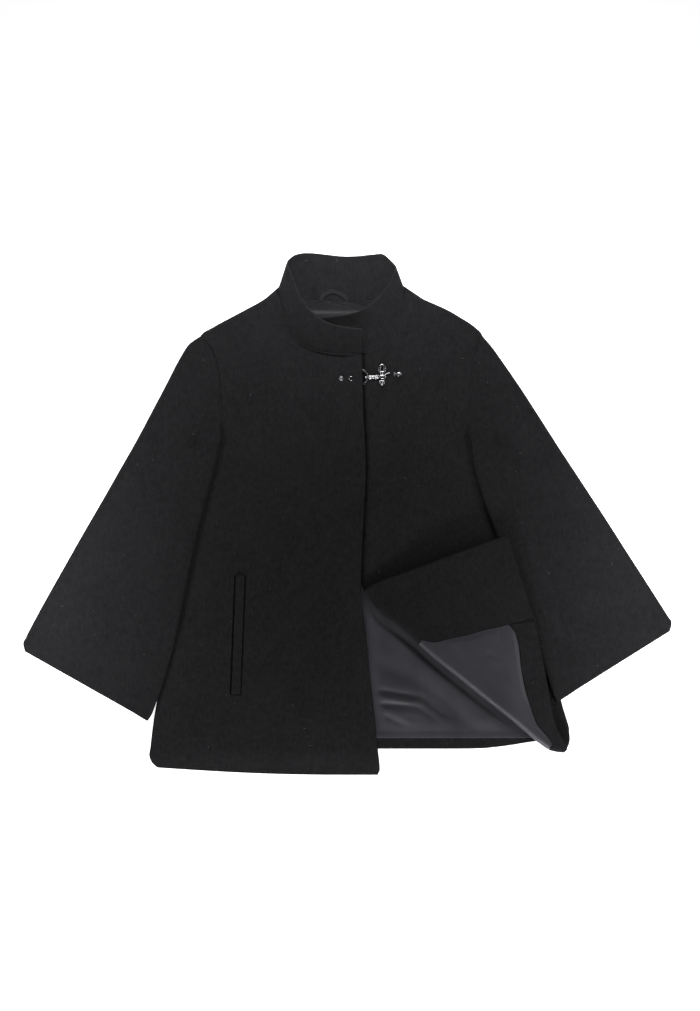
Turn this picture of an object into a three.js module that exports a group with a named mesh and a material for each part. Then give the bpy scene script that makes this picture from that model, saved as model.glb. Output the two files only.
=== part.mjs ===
// Wool cape-style jacket with a stand collar and bell sleeves, laid flat on its back.
// Millimetres. The surface it lies on is z = 0 and the front faces up, +Z. The collar lies
// towards +Y. Left and right are the wearer's, so the wearer's left is towards +X.
// The lower corner of the left front is turned up and back, over the left sleeve.
import * as THREE from "three";

// Driving dimensions
const WOOL = 2.4; // wall of the coating cloth
const SATIN = 1.0; // wall of the lining
const SEAM = 0.3; // gap between neighbouring pieces
const LAID = 0.5; // gap under what follows the turned-back corner round its roll
const CREST = 5.7; // underside of a sleeve's upper piece above the surface it lies on
const CURL = 9; // width over which a seamed edge rounds down
const EDGE_THINNING = 0.5; // share of the wall lost at a pressed, seamed edge
const COLLAR_BAND = 3.4; // wall of the doubled collar
const CUFF_GAP = 2.4; // room between the two walls of a sleeve at its cuff

// Heights of the stacked layers, each from the one below it
const LINING_BASE = WOOL + SEAM;
const FRONT_BASE = LINING_BASE + SATIN + SEAM;
const FRONT_TOP = FRONT_BASE + WOOL;
const OVERLAP_LIFT = WOOL + SEAM; // how much higher the right front lies where it covers the left

// Edges of the body at each height up the garment: side seams, armholes, then shoulders
const BODY_EDGES = [
  { y: -360.5, right: -269.5, left: 290 },
  { y: -353, right: -277.5, left: 297 },
  { y: -342.5, right: -281, left: 306 },
  { y: -330, right: -279, left: 313.5 },
  { y: -320, right: -278, left: 315 },
  { y: -296, right: -275, left: 310.5 },
  { y: -262, right: -269.5, left: 301.5 },
  { y: -220, right: -263.5, left: 290 },
  { y: -180, right: -258, left: 279 },
  { y: -130, right: -251, left: 265 },
  { y: -80, right: -244, left: 251.5 },
  { y: -30, right: -237, left: 237.5 },
  { y: 20, right: -228, left: 223.5 },
  { y: 60, right: -218, left: 212 },
  { y: 84, right: -206, left: 203 },
  { y: 92, right: -194, left: 190 },
  { y: 99, right: -185, left: 181 },
  { y: 110, right: -181.5, left: 177 },
  { y: 125, right: -180, left: 175.3 },
  { y: 145, right: -178.5, left: 174.3 },
  { y: 170, right: -178, left: 174 },
  { y: 190, right: -179.5, left: 174.5 },
  { y: 210, right: -183, left: 176 },
  { y: 228, right: -189, left: 180.5 },
  { y: 242, right: -198, left: 185.5 },
  { y: 252, right: -208, left: 191 },
  { y: 264, right: -190.5, left: 180.5 },
  { y: 276, right: -168.5, left: 162.5 },
  { y: 288, right: -146, left: 142 },
  { y: 300, right: -124, left: 115.5 },
  { y: 308, right: -112, left: 98.5 },
  { y: 316, right: -103, left: 84 },
];
const BODY_MIDDLE = -9; // the neck lies this far to the wearer's right
const ARMPIT_Y = 99; // where the sleeve leaves the armhole seam and lies over the front
const TIP_Y = 252; // the shoulder tip
const ARMHOLE_FADE = { fromY: 59, toY: 84, shoulderY: 240 }; // where edges stop rounding down
const FRONT_COLUMNS = 11; // faces across the right front
const FRONT_EDGE_SHARE = 0.035; // share of a row next to the seamed edge, cut finer

// Right front, hem to neck: the height of its side end, the place of its centre or neck end,
// and how far the middle of the row hangs below the line between the two
const RIGHT_FRONT = [
  { sideY: -360.5, endX: 43, endY: -371, sag: 3.6 },
  { sideY: -353, endX: 46, endY: -363, sag: 3.6 },
  { sideY: -342.5, endX: 44.8, endY: -349, sag: 3 },
  { sideY: -330, endX: 43, endY: -333, sag: 2.7 },
  { sideY: -320, endX: 42, endY: -322, sag: 2.5 },
  { sideY: -296, endX: 39.5, endY: -297, sag: 2 },
  { sideY: -262, endX: 35.5, endY: -262, sag: 0 },
  { sideY: -220, endX: 31, endY: -220, sag: 0 },
  { sideY: -180, endX: 27, endY: -180, sag: 0 },
  { sideY: -130, endX: 21.3, endY: -132, sag: 0 },
  { sideY: -105, endX: 19.2, endY: -108, sag: 0 },
  { sideY: -80, endX: 19.4, endY: -82, sag: 0 },
  { sideY: -30, endX: 21.5, endY: -30, sag: 0 },
  { sideY: 20, endX: 24.3, endY: 20, sag: 0 },
  { sideY: 60, endX: 26, endY: 60, sag: 0 },
  { sideY: 84, endX: 25.6, endY: 84, sag: 0 },
  { sideY: 92, endX: 25.2, endY: 92, sag: 0 },
  { sideY: 99, endX: 24.9, endY: 99, sag: 0 },
  { sideY: 110, endX: 24.2, endY: 109, sag: 0 },
  { sideY: 125, endX: 23.5, endY: 122, sag: 0 },
  { sideY: 145, endX: 22.5, endY: 140, sag: 0 },
  { sideY: 170, endX: 21.8, endY: 162, sag: 0 },
  { sideY: 190, endX: 21.4, endY: 181, sag: 0 },
  { sideY: 210, endX: 21.1, endY: 198, sag: 0 },
  { sideY: 228, endX: 21, endY: 213, sag: 0 },
  { sideY: 242, endX: 20.8, endY: 225, sag: 0 },
  { sideY: 252, endX: 0, endY: 224, sag: 0 },
  { sideY: 264, endX: -24, endY: 225.5, sag: 0 },
  { sideY: 276, endX: -45, endY: 230.5, sag: 0 },
  { sideY: 288, endX: -62, endY: 239.5, sag: 0 },
  { sideY: 300, endX: -77, endY: 254, sag: 0 },
  { sideY: 308, endX: -89, endY: 271, sag: 0 },
  { sideY: 316, endX: -95, endY: 305, sag: 0 },
];

// Left front above the fold, neck to fold, with the same columns. Its centre end is hidden
// under the right front, and its rows tilt until they lie along the fold.
const LEFT_FRONT = [
  { sideY: 316, endX: 80, endY: 309 },
  { sideY: 308, endX: 80.5, endY: 297 },
  { sideY: 300, endX: 76.5, endY: 285.5 },
  { sideY: 288, endX: 70.5, endY: 273.5 },
  { sideY: 276, endX: 62.5, endY: 259 },
  { sideY: 264, endX: 53, endY: 244.5 },
  { sideY: 252, endX: 40, endY: 234 },
  { sideY: 242, endX: 20, endY: 228.5 },
  { sideY: 228, endX: -8, endY: 229.5 },
  { sideY: 210, endX: -38, endY: 233 },
  { sideY: 190, endX: -35, endY: 214 },
  { sideY: 170, endX: -32, endY: 195 },
  { sideY: 145, endX: -28.5, endY: 171 },
  { sideY: 125, endX: -25.5, endY: 152 },
  { sideY: 110, endX: -23, endY: 137 },
  { sideY: 99, endX: -21, endY: 126 },
  { sideY: 92, endX: -19.8, endY: 118 },
  { sideY: 84, endX: -18, endY: 108 },
  { sideY: 60, endX: -14.3, endY: 84 },
  { sideY: 20, endX: -8.5, endY: 48 },
  { sideY: -30, endX: -1.5, endY: 10 },
  { sideY: -80, endX: 4.5, endY: -26 },
  { sideY: -130, endX: 9.5, endY: -55 },
  { sideY: -180, endX: 13.5, endY: -78 },
  { sideY: -220, endX: 17, endY: -92 },
  { sideY: -262, endX: 19.5, endY: -101 },
  { sideY: -296, endX: 21.8, endY: -105.5 },
  { sideY: -318, endX: 22.3, endY: -107.5 },
];

const NECK_ROWS = 9; // rows of the left front above the neck corner of its centre edge
const LEFT_CENTRE_EDGE = LEFT_FRONT.slice(NECK_ROWS).reverse();
const LEFT_COLUMNS = 14;
const LEFT_EDGE_SHARE = 0.04;

// Where the right front climbs on to the left one: across from its centre edge, and up from
// the turned-back corner
const CLIMB = { fromX: -34, toX: -12, fromY: -152, toY: -116 };

// The fold of the left front, centre edge to side seam: outermost line of the roll as seen
// from above, and the inner radius of the roll
const FOLD = [
  { x: 20.9, y: -111, radius: 1 },
  { x: 45, y: -140, radius: 2.2 },
  { x: 75.5, y: -164, radius: 3.4 },
  { x: 100, y: -185.5, radius: 4.2 },
  { x: 127, y: -209, radius: 4.7 },
  { x: 162, y: -237, radius: 5 },
  { x: 196, y: -264.5, radius: 5 },
  { x: 226, y: -288, radius: 5 },
  { x: 250, y: -308, radius: 4.9 },
  { x: 271, y: -325, radius: 4.6 },
  { x: 289, y: -336, radius: 3.9 },
  { x: 307, y: -339, radius: 2.6 },
];
const FOLD_ALONG = new THREE.Vector2(0.783, -0.622).normalize();
const FOLD_ACROSS = new THREE.Vector2(-FOLD_ALONG.y, FOLD_ALONG.x);
const ROLL_STEPS = 8; // faces round the half turn of the roll
const FLAP_REACH = 190; // from the fold to the corner
const FLAP_RISE = 7; // how far the free corner stands above a flat flap
const FLAP_ROOM = { radius: 4.6, from: 10, to: 110 }; // half the room under the flap, by reach

// The turned-back corner, fold to corner: its centre edge and its hem edge
const FLAP = [
  { endX: 34, endY: -100.5, hemX: 301, hemY: -318 },
  { endX: 54, endY: -93, hemX: 295, hemY: -300 },
  { endX: 78, endY: -84, hemX: 287, hemY: -268 },
  { endX: 108, endY: -73, hemX: 280, hemY: -226 },
  { endX: 136, endY: -62.5, hemX: 272.5, hemY: -188 },
  { endX: 158, endY: -54.5, hemX: 265.5, hemY: -153 },
  { endX: 178, endY: -47.5, hemX: 254, hemY: -117 },
  { endX: 195, endY: -41, hemX: 244, hemY: -87 },
  { endX: 208, endY: -36.5, hemX: 236.5, hemY: -63 },
  { endX: 217, endY: -34, hemX: 231, hemY: -45 },
  { endX: 222.5, endY: -34.3, hemX: 228.5, hemY: -38.5 },
];

// What lies on the turned-back corner. Facing, from the fold to the hem: centre edge and
// inner edge. Its first row is on the roll.
const FACING = [
  { endX: 45, endY: -97, innerX: 119, innerY: -180.5 },
  { endX: 78, endY: -85, innerX: 145, innerY: -176 },
  { endX: 108, endY: -74, innerX: 175, innerY: -169.5 },
  { endX: 136, endY: -63.5, innerX: 203, innerY: -161.5 },
  { endX: 168, endY: -52, innerX: 229, innerY: -155.5 },
  { endX: 195, endY: -42, innerX: 245, innerY: -152 },
  { endX: 208, endY: -37.5, innerX: 254, innerY: -146 },
  { endX: 217, endY: -35, innerX: 258, innerY: -136 },
  { endX: 224, endY: -36.3, innerX: 255.5, innerY: -125 },
  { endX: 229, endY: -43, innerX: 251.5, innerY: -113 },
];
const FACING_SHARE = 0.27; // share of the fold that the facing crosses
const FACING_COLUMNS = 6;

// Lining, from the fold up: its end on the facing and its end on the hem allowance
const FLAP_LINING = [
  { endX: 122, endY: -182, hemX: 266.5, hemY: -296 },
  { endX: 145, endY: -177, hemX: 258, hemY: -272 },
  { endX: 170, endY: -172, hemX: 250, hemY: -244 },
  { endX: 194, endY: -165, hemX: 245, hemY: -216 },
  { endX: 214, endY: -160.5, hemX: 242, hemY: -188 },
  { endX: 228, endY: -157, hemX: 237, hemY: -168 },
];
const LINING_SHARE = 0.885; // share of the fold where the lining meets the hem allowance
const FLAP_LINING_COLUMNS = 12;

// Hem allowance, from the facing to the fold: lining edge and hem edge
const HEM_BAND = [
  { innerX: 230.5, innerY: -156.6, hemX: 264, hemY: -151.5 },
  { innerX: 238.5, innerY: -170, hemX: 268, hemY: -170 },
  { innerX: 243, innerY: -189, hemX: 272, hemY: -190 },
  { innerX: 246.2, innerY: -216, hemX: 277.5, hemY: -217 },
  { innerX: 251.2, innerY: -244, hemX: 283, hemY: -246 },
  { innerX: 259.2, innerY: -272, hemX: 288, hemY: -276 },
  { innerX: 267.7, innerY: -296, hemX: 294, hemY: -300 },
];
const FLAP_BAND_COLUMNS = 4;
const WRAP_FROM = 55; // degrees up from the underside where the lining on the roll starts
const WRAP_STEPS = 5;
const WRAP_END = 0.004; // share of the fold left free at each of its ends
const WRAP_SEAM = 0.002; // half a seam on the roll, as a share of the fold

// Sleeves, armhole to cuff: the place of the outer edge and of the edge along the body
const RIGHT_SLEEVE = [
  { outerX: -208.5, outerY: 252, innerX: -185.5, innerY: 99 },
  { outerX: -224, outerY: 241, innerX: -187.5, innerY: 80 },
  { outerX: -238.5, outerY: 218.5, innerX: -192, innerY: 55 },
  { outerX: -255, outerY: 186.5, innerX: -198, innerY: 32 },
  { outerX: -274, outerY: 150.5, innerX: -204.5, innerY: 8 },
  { outerX: -298.5, outerY: 104.5, innerX: -213, innerY: -27 },
  { outerX: -322.5, outerY: 62.5, innerX: -220.5, innerY: -60 },
  { outerX: -347, outerY: 19.5, innerX: -227.5, innerY: -95 },
  { outerX: -372, outerY: -23.5, innerX: -236, innerY: -138 },
  { outerX: -396.5, outerY: -66.5, innerX: -245, innerY: -180 },
  { outerX: -421, outerY: -110, innerX: -255, innerY: -218 },
  { outerX: -445.5, outerY: -154.5, innerX: -265.5, innerY: -252 },
  { outerX: -456, outerY: -175, innerX: -274, innerY: -277 },
  { outerX: -460, outerY: -184.5, innerX: -277, innerY: -284.5 },
  { outerX: -457.5, outerY: -195.5, innerX: -283, innerY: -294 },
];
const LEFT_SLEEVE = [
  { outerX: 191.5, outerY: 252, innerX: 181.5, innerY: 99 },
  { outerX: 203.5, outerY: 238, innerX: 181, innerY: 80 },
  { outerX: 222, outerY: 212, innerX: 184.5, innerY: 55 },
  { outerX: 245, outerY: 178.5, innerX: 190, innerY: 32 },
  { outerX: 272, outerY: 137, innerX: 198, innerY: 6 },
  { outerX: 300.5, outerY: 92.5, innerX: 209.5, innerY: -27 },
  { outerX: 324, outerY: 57, innerX: 220.5, innerY: -58 },
  { outerX: 347, outerY: 22, innerX: 232, innerY: -90 },
  { outerX: 370.5, outerY: -14, innerX: 244, innerY: -123 },
  { outerX: 393.5, outerY: -50, innerX: 256, innerY: -157 },
  { outerX: 417, outerY: -86.5, innerX: 269, innerY: -193 },
  { outerX: 440, outerY: -122.5, innerX: 282, innerY: -229 },
  { outerX: 454, outerY: -144.5, innerX: 290, innerY: -250 },
  { outerX: 459.8, outerY: -154.5, innerX: 293, innerY: -258 },
  { outerX: 457, outerY: -166.8, innerX: 297.5, innerY: -266.8 },
];
const SLEEVE_FREE = 0.3; // share of the sleeve over which the armhole's curve fades out
const SLEEVE_WIDTH = 170; // between a sleeve's long edges
const SLEEVE_COLUMNS = 9;
const SLEEVE_RIM = 0.03; // share of a sleeve's width at each long edge, cut finer
const ARMHOLE_ROWS = 2; // rows over which a sleeve takes on its room and its creases
const CUFF_FROM = 0.8; // share of the sleeve's length where it starts to flatten
const ARMPIT_PINCH = 0.02; // share of the armhole seam where the two walls close up
const SIDE_FLAT = 9; // how far outside the body the sleeve still lies as high as over it
const SIDE_RAMP = 34; // how far outside the body it has come down to the surface

const ARMHOLE_GAP = 1.5 * SEAM; // between the body's edge and the sleeve sewn to it

// Broad soft creases in the upper faces: the two ends, how wide and how high
const CREASES = [
  { fromX: 203, fromY: 225, toX: 222, toY: 128, width: 11, height: 1.6 },
  { fromX: 295, fromY: 83, toX: 304, toY: 35, width: 10, height: 1.4 },
  { fromX: -279, fromY: 112, toX: -301, toY: 32, width: 12, height: 1.5 },
  { fromX: -301, fromY: 32, toX: -351, toY: -103, width: 15, height: 1.1 },
  { fromX: -120, fromY: -225, toX: -35, toY: -305, width: 24, height: 1.2 },
  { fromX: -250, fromY: -40, toX: -310, toY: -180, width: 20, height: 0.9 },
];

// Ripples of the back lining where the turned corner bares it
const RIPPLES = [
  { fromX: 58, fromY: -190, toX: 172, toY: -272, width: 13, height: 3.2 },
  { fromX: 44, fromY: -232, toX: 158, toY: -305, width: 11, height: 2.6 },
  { fromX: 48, fromY: -280, toX: 128, toY: -304, width: 9, height: 3 },
  { fromX: 172, fromY: -288, toX: 226, toY: -312, width: 10, height: 1.8 },
];
// Ripples keep clear of the right front, the roll and the hem, and grow over the margin
const RIPPLE_CLEAR = { front: 4, fold: 10, hem: 2, margin: 14 };
const CREASE_FADE = { before: -0.15, full: 0.3, fall: 0.7, after: 1.15 }; // shares of its length

// Collar, centre end of the right front, round the back of the neck, to the centre end of
// the left front: seam line and free edge, each in the middle of the band
const COLLAR = [
  { seamX: 20.3, seamY: 227.3, seamZ: 8.1, edgeX: 21, edgeY: 261, edgeZ: 24 },
  { seamX: 0, seamY: 227, seamZ: 8.1, edgeX: 4, edgeY: 262.5, edgeZ: 24 },
  { seamX: -23.5, seamY: 228.8, seamZ: 8.1, edgeX: -14, edgeY: 266, edgeZ: 23 },
  { seamX: -44, seamY: 233, seamZ: 8.1, edgeX: -31, edgeY: 271.5, edgeZ: 21.5 },
  { seamX: -61.1, seamY: 240.7, seamZ: 6.6, edgeX: -46, edgeY: 282, edgeZ: 20 },
  { seamX: -75.9, seamY: 255, seamZ: 5.9, edgeX: -58, edgeY: 295, edgeZ: 18.5 },
  { seamX: -87.6, seamY: 271.7, seamZ: 5.9, edgeX: -68, edgeY: 311, edgeZ: 16.5 },
  { seamX: -90.6, seamY: 288.4, seamZ: 5.9, edgeX: -75, edgeY: 328, edgeZ: 14.5 },
  { seamX: -93.4, seamY: 305.4, seamZ: 6, edgeX: -80.5, edgeY: 343, edgeZ: 12.4 },
  { seamX: -95.5, seamY: 317.5, seamZ: 6.1, edgeX: -84, edgeY: 352, edgeZ: 9.6 },
  { seamX: -95, seamY: 322.6, seamZ: 4.2, edgeX: -83.5, edgeY: 358.5, edgeZ: 6 },
  { seamX: -90, seamY: 322.8, seamZ: 2.1, edgeX: -78, edgeY: 365, edgeZ: 2.6 },
  { seamX: -78, seamY: 314.5, seamZ: 1.7, edgeX: -68, edgeY: 369, edgeZ: 1.7 },
  { seamX: -60, seamY: 307, seamZ: 1.7, edgeX: -54, edgeY: 369.9, edgeZ: 1.7 },
  { seamX: -36, seamY: 304, seamZ: 1.7, edgeX: -33, edgeY: 368, edgeZ: 1.7 },
  { seamX: -10, seamY: 303.4, seamZ: 1.7, edgeX: -9, edgeY: 365.4, edgeZ: 1.7 },
  { seamX: 16, seamY: 303.6, seamZ: 1.7, edgeX: 15, edgeY: 365.6, edgeZ: 1.7 },
  { seamX: 40, seamY: 306.5, seamZ: 1.7, edgeX: 36, edgeY: 367.8, edgeZ: 1.7 },
  { seamX: 58, seamY: 314, seamZ: 1.7, edgeX: 51, edgeY: 368, edgeZ: 1.7 },
  { seamX: 71, seamY: 323.5, seamZ: 2.1, edgeX: 61.5, edgeY: 359, edgeZ: 2.6 },
  { seamX: 77, seamY: 324.2, seamZ: 4.2, edgeX: 66.8, edgeY: 351.5, edgeZ: 6 },
  { seamX: 78, seamY: 319, seamZ: 6.1, edgeX: 67.3, edgeY: 346, edgeZ: 9.2 },
  { seamX: 78.2, seamY: 309.5, seamZ: 6, edgeX: 64.8, edgeY: 339.5, edgeZ: 11.5 },
  { seamX: 79.1, seamY: 297.2, seamZ: 5.9, edgeX: 60, edgeY: 328.5, edgeZ: 13 },
  { seamX: 75.2, seamY: 286.1, seamZ: 5.9, edgeX: 52.5, edgeY: 317.5, edgeZ: 13.6 },
  { seamX: 69.2, seamY: 274.1, seamZ: 5.9, edgeX: 42.5, edgeY: 306, edgeZ: 13.8 },
  { seamX: 61.3, seamY: 259.8, seamZ: 5.9, edgeX: 30, edgeY: 295, edgeZ: 13.8 },
  { seamX: 52, seamY: 245.5, seamZ: 5.8, edgeX: 16, edgeY: 287, edgeZ: 13.8 },
  { seamX: 39.4, seamY: 235.3, seamZ: 5.7, edgeX: 1, edgeY: 283, edgeZ: 13.6 },
  { seamX: 19.9, seamY: 230, seamZ: 5.7, edgeX: -12, edgeY: 281, edgeZ: 13 },
  { seamX: -7.9, seamY: 231, seamZ: 5.7, edgeX: -26, edgeY: 279.5, edgeZ: 12.5 },
  { seamX: -36.5, seamY: 234.5, seamZ: 5.7, edgeX: -40.5, edgeY: 278.5, edgeZ: 12 },
];
const COLLAR_ROWS = [0, 0.3, 0.7, 1];

// Neck edge of the back, from the right neck point to the left one
const BACK_NECK = [
  { x: -96, y: 319 },
  { x: -88, y: 318.5 },
  { x: -77, y: 313 },
  { x: -60, y: 306.2 },
  { x: -36, y: 303.3 },
  { x: -10, y: 302.7 },
  { x: 16, y: 302.9 },
  { x: 40, y: 305.8 },
  { x: 58, y: 313.2 },
  { x: 70, y: 320.5 },
  { x: 78, y: 320.5 },
];

// Back and its hem allowance. The hem is straight, then rises towards the left side seam.
const BACK_HEM_Y = -334;
const BACK_HEM = [
  { x: 150, y: BACK_HEM_Y },
  { x: 190, y: -333.4 },
  { x: 208, y: -331.8 },
  { x: 231, y: -328.9 },
  { x: 253, y: -325.3 },
  { x: 275, y: -322.5 },
  { x: 316, y: -321 },
];
const BACK_CORNER_X = -279.5; // hem corner at the right side seam
const HEM_RISE_TOP_Y = -262; // above this the rows of the back are straight
const BACK_TOP_Y = 300; // last straight row below the neck edge
const HANG = { from: 3, to: 24 }; // below the back's hem, where the right front drops
const HEM_BAND_LOW_Y = -333;
const HEM_BAND_TOP_Y = -316;
const HEM_BAND_WALL = 1.1;
const HEM_BAND_COLUMNS = 12;

// Back lining: close rows and columns where it is bared and ripples, wide ones elsewhere
const LINING_INSET = 11; // from the side seams
const SHOULDER_INSET = 26; // from the sloping shoulders, between the two heights
const SHOULDER_BAND = { fromY: 245, toY: 264 };
const BARED_STEP = 9;
const BARED_TOP_Y = -130;
const BARED_FROM_X = 35.5;
const LINING_LEVELS = [-110, -60, -10, 20, 60, 84, 99, 125, 170, 210, 242, 264, 288];
const LINING_COLUMNS = 25;
const COVERED_COLUMNS = 3; // of them, under the right front
const LINING_NECK_HALF = 72; // half the width of its neck edge
const LINING_TOP_GAP = 1.5; // from the lining's upper edge to the neck edge of the back

// Hanger loop: a strip across the neck seam, seen as a low arch
const LOOP = { fromX: -38, toX: 1, baseY: 306, rise: 11, width: 5, wall: 1.2, steps: 14 };

// Pocket welt of the right front: its long edge at the slit and its width
const WELT = { topX: -158, topY: -88, lowX: -164.5, lowY: -256, width: 12.5, wall: 1.6, steps: 10 };

// Hook clasp at the collar end of the centre edge
const CLASP = {
  y: 194,
  bevel: 0.4,
  stud: { radius: 3.2, height: 2, places: [-8.9, 4.9], y: 191.3, faces: 16 },
  ring: { edgeX: 22, ballX: 27, ballRadius: 2, spread: 9.5, wire: 1.8, height: 2.2 },
  bar: { fromX: 29.3, toX: 44.5, width: 4.6, height: 2.6, slot: 1.2, slotEnd: 2 },
  boss: { toX: 55, width: 9.6, slope: 1 },
  arm: { toX: 61, width: 1.8, rise: 4.5 },
  wing: { x: 49.2, width: 10.6, tip: 4.6, upper: 12, lower: 8, wall: 1.8, height: 2 },
  cap: { x: 65.5, barX: 67.5, neckX: 68.1, domeX: 73.8, tipX: 76.9, y: 197.6, height: 2.6 },
};

// Stud from its centre out and back, as shares of its radius and of its height
const STUD_PROFILE = [
  { out: 0, up: 0 },
  { out: 0.8, up: 0 },
  { out: 1, up: 0.3 },
  { out: 0.9, up: 0.7 },
  { out: 0.55, up: 1 },
  { out: 0.3, up: 0.8 },
  { out: 0, up: 0.8 },
];

// Half widths of the clasp's end cap
const CAP_HALF = { bar: 3.6, neck: 2.2, dome: 2.9, tip: 1.1 };

// Cloth and metal, each piece with its own material
const BLACK_WOOL = { color: 0x232325, roughness: 0.95, metalness: 0 };
const GREY_SATIN = { color: 0x4a474d, roughness: 0.42, metalness: 0 };
const DARK_METAL = { color: 0x9a9aa0, roughness: 0.25, metalness: 1 };

function clamp01(value) {
  return Math.min(1, Math.max(0, value));
}

function smooth(from, to, value) {
  const share = clamp01((value - from) / (to - from));
  return share * share * (3 - 2 * share);
}

function mix(a, b, share) {
  return a + (b - a) * share;
}

// One column of a table at a value of its first, rising column, on straight lines
function lookUp(table, key, value, column) {
  let row = 0;
  while (row < table.length - 2 && value > table[row + 1][key]) row += 1;
  const low = table[row];
  const high = table[row + 1];
  return mix(low[column], high[column], clamp01((value - low[key]) / (high[key] - low[key])));
}

function bodyEdge(side, y) {
  return lookUp(BODY_EDGES, "y", y, side);
}

// Height that the creases of a table add at a place
function creaseLift(creases, x, y) {
  let lift = 0;
  for (const crease of creases) {
    const alongX = crease.toX - crease.fromX;
    const alongY = crease.toY - crease.fromY;
    const length = Math.hypot(alongX, alongY);
    const along = ((x - crease.fromX) * alongX + (y - crease.fromY) * alongY) / length;
    const across = ((y - crease.fromY) * alongX - (x - crease.fromX) * alongY) / length;
    const fade = smooth(CREASE_FADE.before * length, CREASE_FADE.full * length, along)
      * (1 - smooth(CREASE_FADE.fall * length, CREASE_FADE.after * length, along));
    lift += crease.height * fade * Math.exp(-((across / crease.width) ** 2));
  }
  return lift;
}

// Quarter-round profile of a seamed edge: 0 at the edge, 1 from the curl's width inwards
function curlShare(distance) {
  const inward = 1 - clamp01(distance / CURL);
  return Math.sqrt(1 - inward * inward);
}

// A point pair of a wall, one straight above the other
function stacked(x, y, base, top) {
  return { a: new THREE.Vector3(x, y, base), b: new THREE.Vector3(x, y, top) };
}

// Closed wall between two faces given as rows of point pairs
function wall(rows) {
  const count = rows[0].length;
  const points = [];
  for (const row of rows) for (const pair of row) points.push(pair.a, pair.b);
  const faceA = (i, j) => 2 * (i * count + j);
  const faceB = (i, j) => faceA(i, j) + 1;
  const quads = [];
  for (let i = 0; i < rows.length - 1; i += 1) {
    for (let j = 0; j < count - 1; j += 1) {
      quads.push([faceB(i, j), faceB(i, j + 1), faceB(i + 1, j + 1), faceB(i + 1, j)]);
      quads.push([faceA(i, j), faceA(i + 1, j), faceA(i + 1, j + 1), faceA(i, j + 1)]);
    }
  }
  const rim = rimOf(rows.length, count);
  rim.forEach(([i, j], place) => {
    const [nextI, nextJ] = rim[(place + 1) % rim.length];
    quads.push([faceA(i, j), faceA(nextI, nextJ), faceB(nextI, nextJ), faceB(i, j)]);
  });
  return closedGeometry(points, quads);
}

// The border of a grid in order, as row and column numbers
function rimOf(rowCount, columnCount) {
  const rim = [];
  for (let j = 0; j < columnCount - 1; j += 1) rim.push([0, j]);
  for (let i = 0; i < rowCount - 1; i += 1) rim.push([i, columnCount - 1]);
  for (let j = columnCount - 1; j > 0; j -= 1) rim.push([rowCount - 1, j]);
  for (let i = rowCount - 1; i > 0; i -= 1) rim.push([i, 0]);
  return rim;
}

// Triangles of the quads, each cut along its shorter diagonal, with the faces turned outwards
function closedGeometry(points, quads) {
  const index = [];
  for (const [p, q, r, s] of quads) {
    if (points[p].distanceTo(points[r]) <= points[q].distanceTo(points[s])) {
      index.push(p, q, r, p, r, s);
    } else {
      index.push(p, q, s, q, r, s);
    }
  }
  let volume = 0;
  for (let k = 0; k < index.length; k += 3) {
    const [p, q, r] = [points[index[k]], points[index[k + 1]], points[index[k + 2]]];
    volume += p.dot(new THREE.Vector3().crossVectors(q, r));
  }
  if (volume < 0) index.reverse();
  const geometry = new THREE.BufferGeometry().setFromPoints(points);
  geometry.setIndex(index);
  geometry.computeVertexNormals();
  return geometry;
}

function piece(name, geometry, finish) {
  const mesh = new THREE.Mesh(geometry, new THREE.MeshStandardMaterial(finish));
  mesh.name = name;
  return mesh;
}

// Shares across a row, closer together at the end that curls
function curledShares(count, firstStep) {
  const shares = [0, firstStep / 4, firstStep];
  for (let k = 1; k <= count; k += 1) shares.push(mix(firstStep, 1, k / count));
  return shares;
}

// How far the right front is lifted by the left front under its centre edge
function overlapLift(x, y) {
  const centreX = lookUp(LEFT_CENTRE_EDGE, "endY", y, "endX");
  return OVERLAP_LIFT * smooth(CLIMB.fromX, CLIMB.toX, x - centreX)
    * smooth(CLIMB.fromY, CLIMB.toY, y);
}

// Underside of the right front. Past the back's hem it hangs down to the surface.
function rightFrontBase(x, y) {
  const hanging = smooth(BACK_HEM_Y - HANG.from, BACK_HEM_Y - HANG.to, y);
  const lift = overlapLift(x, y) + creaseLift(CREASES, x, y);
  return FRONT_BASE + lift - hanging * (FRONT_BASE - SEAM);
}

// Seamed edges, side and shoulder, come down to the back; the armhole edge does not
function edgeDrop(sideY, distance) {
  const armhole = smooth(ARMHOLE_FADE.fromY, ARMHOLE_FADE.toY, sideY)
    * (1 - smooth(ARMHOLE_FADE.shoulderY, TIP_Y, sideY));
  return (1 - armhole) * (1 - curlShare(distance));
}

function frontPair(x, y, base, drop) {
  const bottom = mix(base, Math.min(base, LINING_BASE), drop);
  return stacked(x, y, bottom, bottom + WOOL * (1 - EDGE_THINNING * drop));
}

function rightFront() {
  const shares = curledShares(FRONT_COLUMNS, FRONT_EDGE_SHARE);
  const rows = RIGHT_FRONT.map((row) => {
    const sideX = bodyEdge("right", row.sideY);
    const length = Math.hypot(row.endX - sideX, row.endY - row.sideY);
    return shares.map((share) => {
      const x = mix(sideX, row.endX, share);
      const y = mix(row.sideY, row.endY, share) - row.sag * Math.sin(Math.PI * share);
      return frontPair(x, y, rightFrontBase(x, y), edgeDrop(row.sideY, share * length));
    });
  });
  return piece("right_front", wall(rows), BLACK_WOOL);
}

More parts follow.
